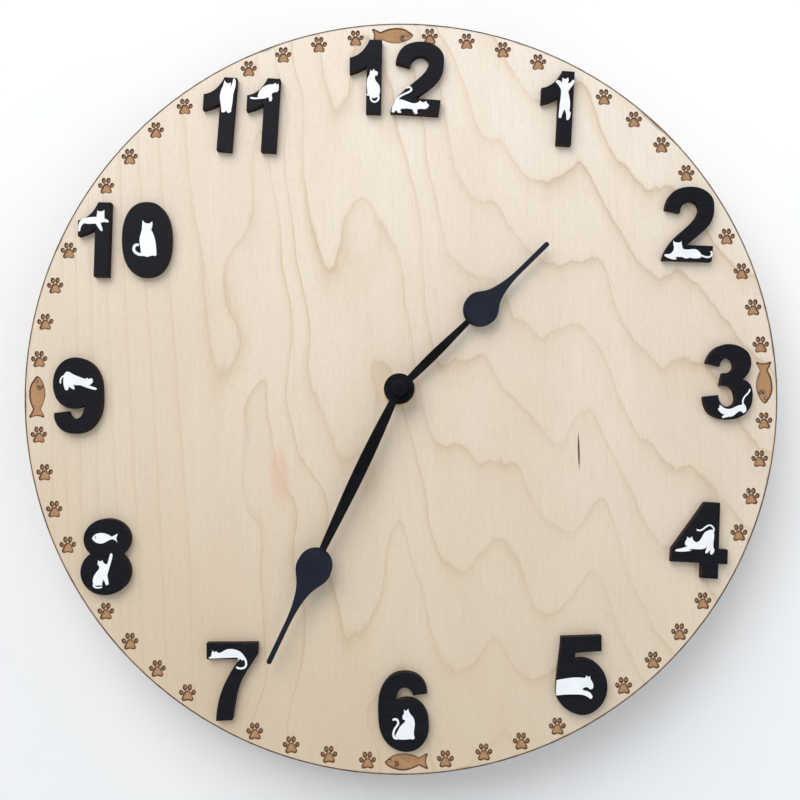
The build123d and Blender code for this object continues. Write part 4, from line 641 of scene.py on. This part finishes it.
def battery_can():
    """The cell, turned about its own axis along X: a can with a dished base, a crimp groove near each end,
    rounded shoulders and a raised positive nub."""
    low, shoulder, high = CELL_LOW[0], CELL_SHOULDER, CELL_HIGH[0]
    can, nub, base_rim, dish, crimp = 7.1, 2.7, 5.5, 0.35, 0.1
    profile = np.concatenate([
        [(low + dish, 0.2), (low + dish, base_rim - 0.3), (low, base_rim)],
        rounded((low, base_rim), (low, can), (low + 5, can), 0.6),
        [(low + 1.6, can), (low + 1.8, can - crimp), (low + 2.0, can)],
        [(shoulder - 2.0, can), (shoulder - 1.8, can - crimp), (shoulder - 1.6, can)],
        rounded((shoulder - 5, can), (shoulder, can), (shoulder, nub), 0.7),
        rounded((shoulder, can), (shoulder, nub), (high, nub), 0.25),
        rounded((shoulder, nub), (high, nub), (high, 0.0), 0.35),
        [(high, 0.2)],
    ])
    middle = (0.0, (CELL_LOW[1] + CELL_HIGH[1]) / 2, (CELL_LOW[2] + CELL_HIGH[2]) / 2)
    stand_in("battery_can", turned(profile, RIGHT, FORWARDS, UP, middle, 96), "battery", "battery")


def coil_turns():
    """The winding's outer layer of wire, turn beside turn between the bobbin's two flanges: the profile's
    radius swells by half a sine for each turn, and its inner side lies on the bobbin's tube."""
    wire, tube = 0.15, 1.25
    low, high = box_mm("coil_winding")
    turn_share = np.linspace(0, 1, 7)[:-1]
    turns = int((high[2] - low[2]) / wire)
    heights = (np.arange(turns)[:, None] + turn_share).ravel() * wire + low[2] + 0.01
    radii = (high[0] - low[0]) / 2 - wire / 2 + np.sin(turn_share * pi) * wire / 2
    profile = np.concatenate([
        [(heights[-1], tube), (heights[0], tube)],
        np.stack([heights, np.tile(radii, turns)], axis=1),
    ])
    middle = ((low[0] + high[0]) / 2, (low[1] + high[1]) / 2, 0.0)
    stand_in("coil_turns", turned(profile, UP, RIGHT, BACKWARDS, middle, 40), "coil_winding", "clock",
             closed_along=True)


cap_nut()
battery_can()
coil_turns()


# ---------------------------------------------------------------- wall, light and camera
def wall_paint():
    """Pale matt rolled paint, with painted light that makes it paler towards its upper right. It is clear
    from behind and to shadows, so that the clock's back can be seen and lit."""
    material, t, place = blank("Pale wall paint")
    x, _, z = t.parts(place)
    # painted light: the wall is paler towards its upper right and darker towards its lower left, standing in
    # for the lamps' falloff
    lit = t.span(t.sum(z, t.times(x, 0.4)), -175.0, 175.0, smooth=False)
    broad = t.noise(t.stretch(place, 0.012, 0.012, 0.012), detail=3.0)
    roller = t.noise(t.stretch(place, 0.8, 0.8, 0.8), detail=3.0, roughness=0.6)
    colour = t.mix(lit, (0.848, 0.850, 0.850), (0.955, 0.958, 0.96))
    colour = t.mix(t.span(broad, 0.35, 0.65, 0.0, 0.15), colour, (0.82, 0.83, 0.84))
    matt = t.add("BsdfDiffuse", colour, 0.5, t.add("Bump", 0.3, 0.05 * MM, None, roller))
    clear = t.add("BsdfTransparent", (1.0, 1.0, 1.0, 1.0))
    backfacing, shadow_ray = t.add("NewGeometry", out=6), t.add("LightPath", out=1)
    return to_output(material, t.add("MixShader", t.math("MAXIMUM", backfacing, shadow_ray), matt, clear))


def backdrop():
    """One pale sheet, a line carried along X: down the wall, round a quarter circle and along the floor."""
    wall_y, wall_top, floor_z, floor_end, bend, half_width = 0.0006, 1.8, -0.9, -3.5, 0.3, 2.5
    turn = np.linspace(0, pi / 2, 24)
    line = np.concatenate([
        [(wall_y, wall_top)],
        np.stack([wall_y - bend + bend * np.cos(turn), floor_z + bend - bend * np.sin(turn)], axis=1),
        [(floor_end, floor_z)],
    ])
    left, right = (np.insert(line, 0, side, axis=1) for side in (-half_width, half_width))
    count = len(line)
    quads = [(k, k + 1, count + k + 1, count + k) for k in range(count - 1)]
    mesh = bpy.data.meshes.new("backdrop")
    mesh.from_pydata(np.concatenate([left, right]), [], quads)
    mesh.shade_smooth()
    mesh.materials.append(wall_paint())
    sheet = bpy.data.objects.new("backdrop", mesh)
    bpy.context.scene.collection.objects.link(sheet)


def softbox(name, place, target, size, power, colour):
    """A square lamp that looks at a point."""
    lamp = bpy.data.lights.new(name, "AREA")
    lamp.shape, lamp.size, lamp.energy, lamp.color = "SQUARE", size, power, colour
    holder = bpy.data.objects.new(name, lamp)
    bpy.context.scene.collection.objects.link(holder)
    holder.location = place
    holder.rotation_euler = (Vector(target) - Vector(place)).to_track_quat("-Z", "Y").to_euler()


backdrop()
softbox("key", (-0.55, -1.05, 1.05), (0, 0, 0.05), 1.3, 20.8, (1.0, 0.980, 0.955))
softbox("fill", (1.1, -1.3, -0.1), (0, 0, 0), 1.0, 2.0, (0.94, 0.97, 1.0))
softbox("rear", (0.5, 1.2, 0.7), (0, 0, 0), 0.8, 5.0, (1.0, 1.0, 1.0))

world = bpy.data.worlds.new("Studio")
world.use_nodes = True
sky = world.node_tree.nodes["Background"]
sky.inputs["Color"].default_value = (0.905, 0.955, 1.02, 1.0)
sky.inputs["Strength"].default_value = 0.56
bpy.context.scene.world = world
bpy.context.scene.view_settings.view_transform = "Standard"

lens = bpy.data.cameras.new("camera")
lens.sensor_width, lens.lens = 36.0, 39.15
lens.clip_start = 0.01
camera = bpy.data.objects.new("camera", lens)
bpy.context.scene.collection.objects.link(camera)
camera.location = (0.003195, -0.369436, -0.024304)
camera.rotation_euler = (radians(93.345), radians(1.0923), radians(0.5643))
bpy.context.scene.camera = camera
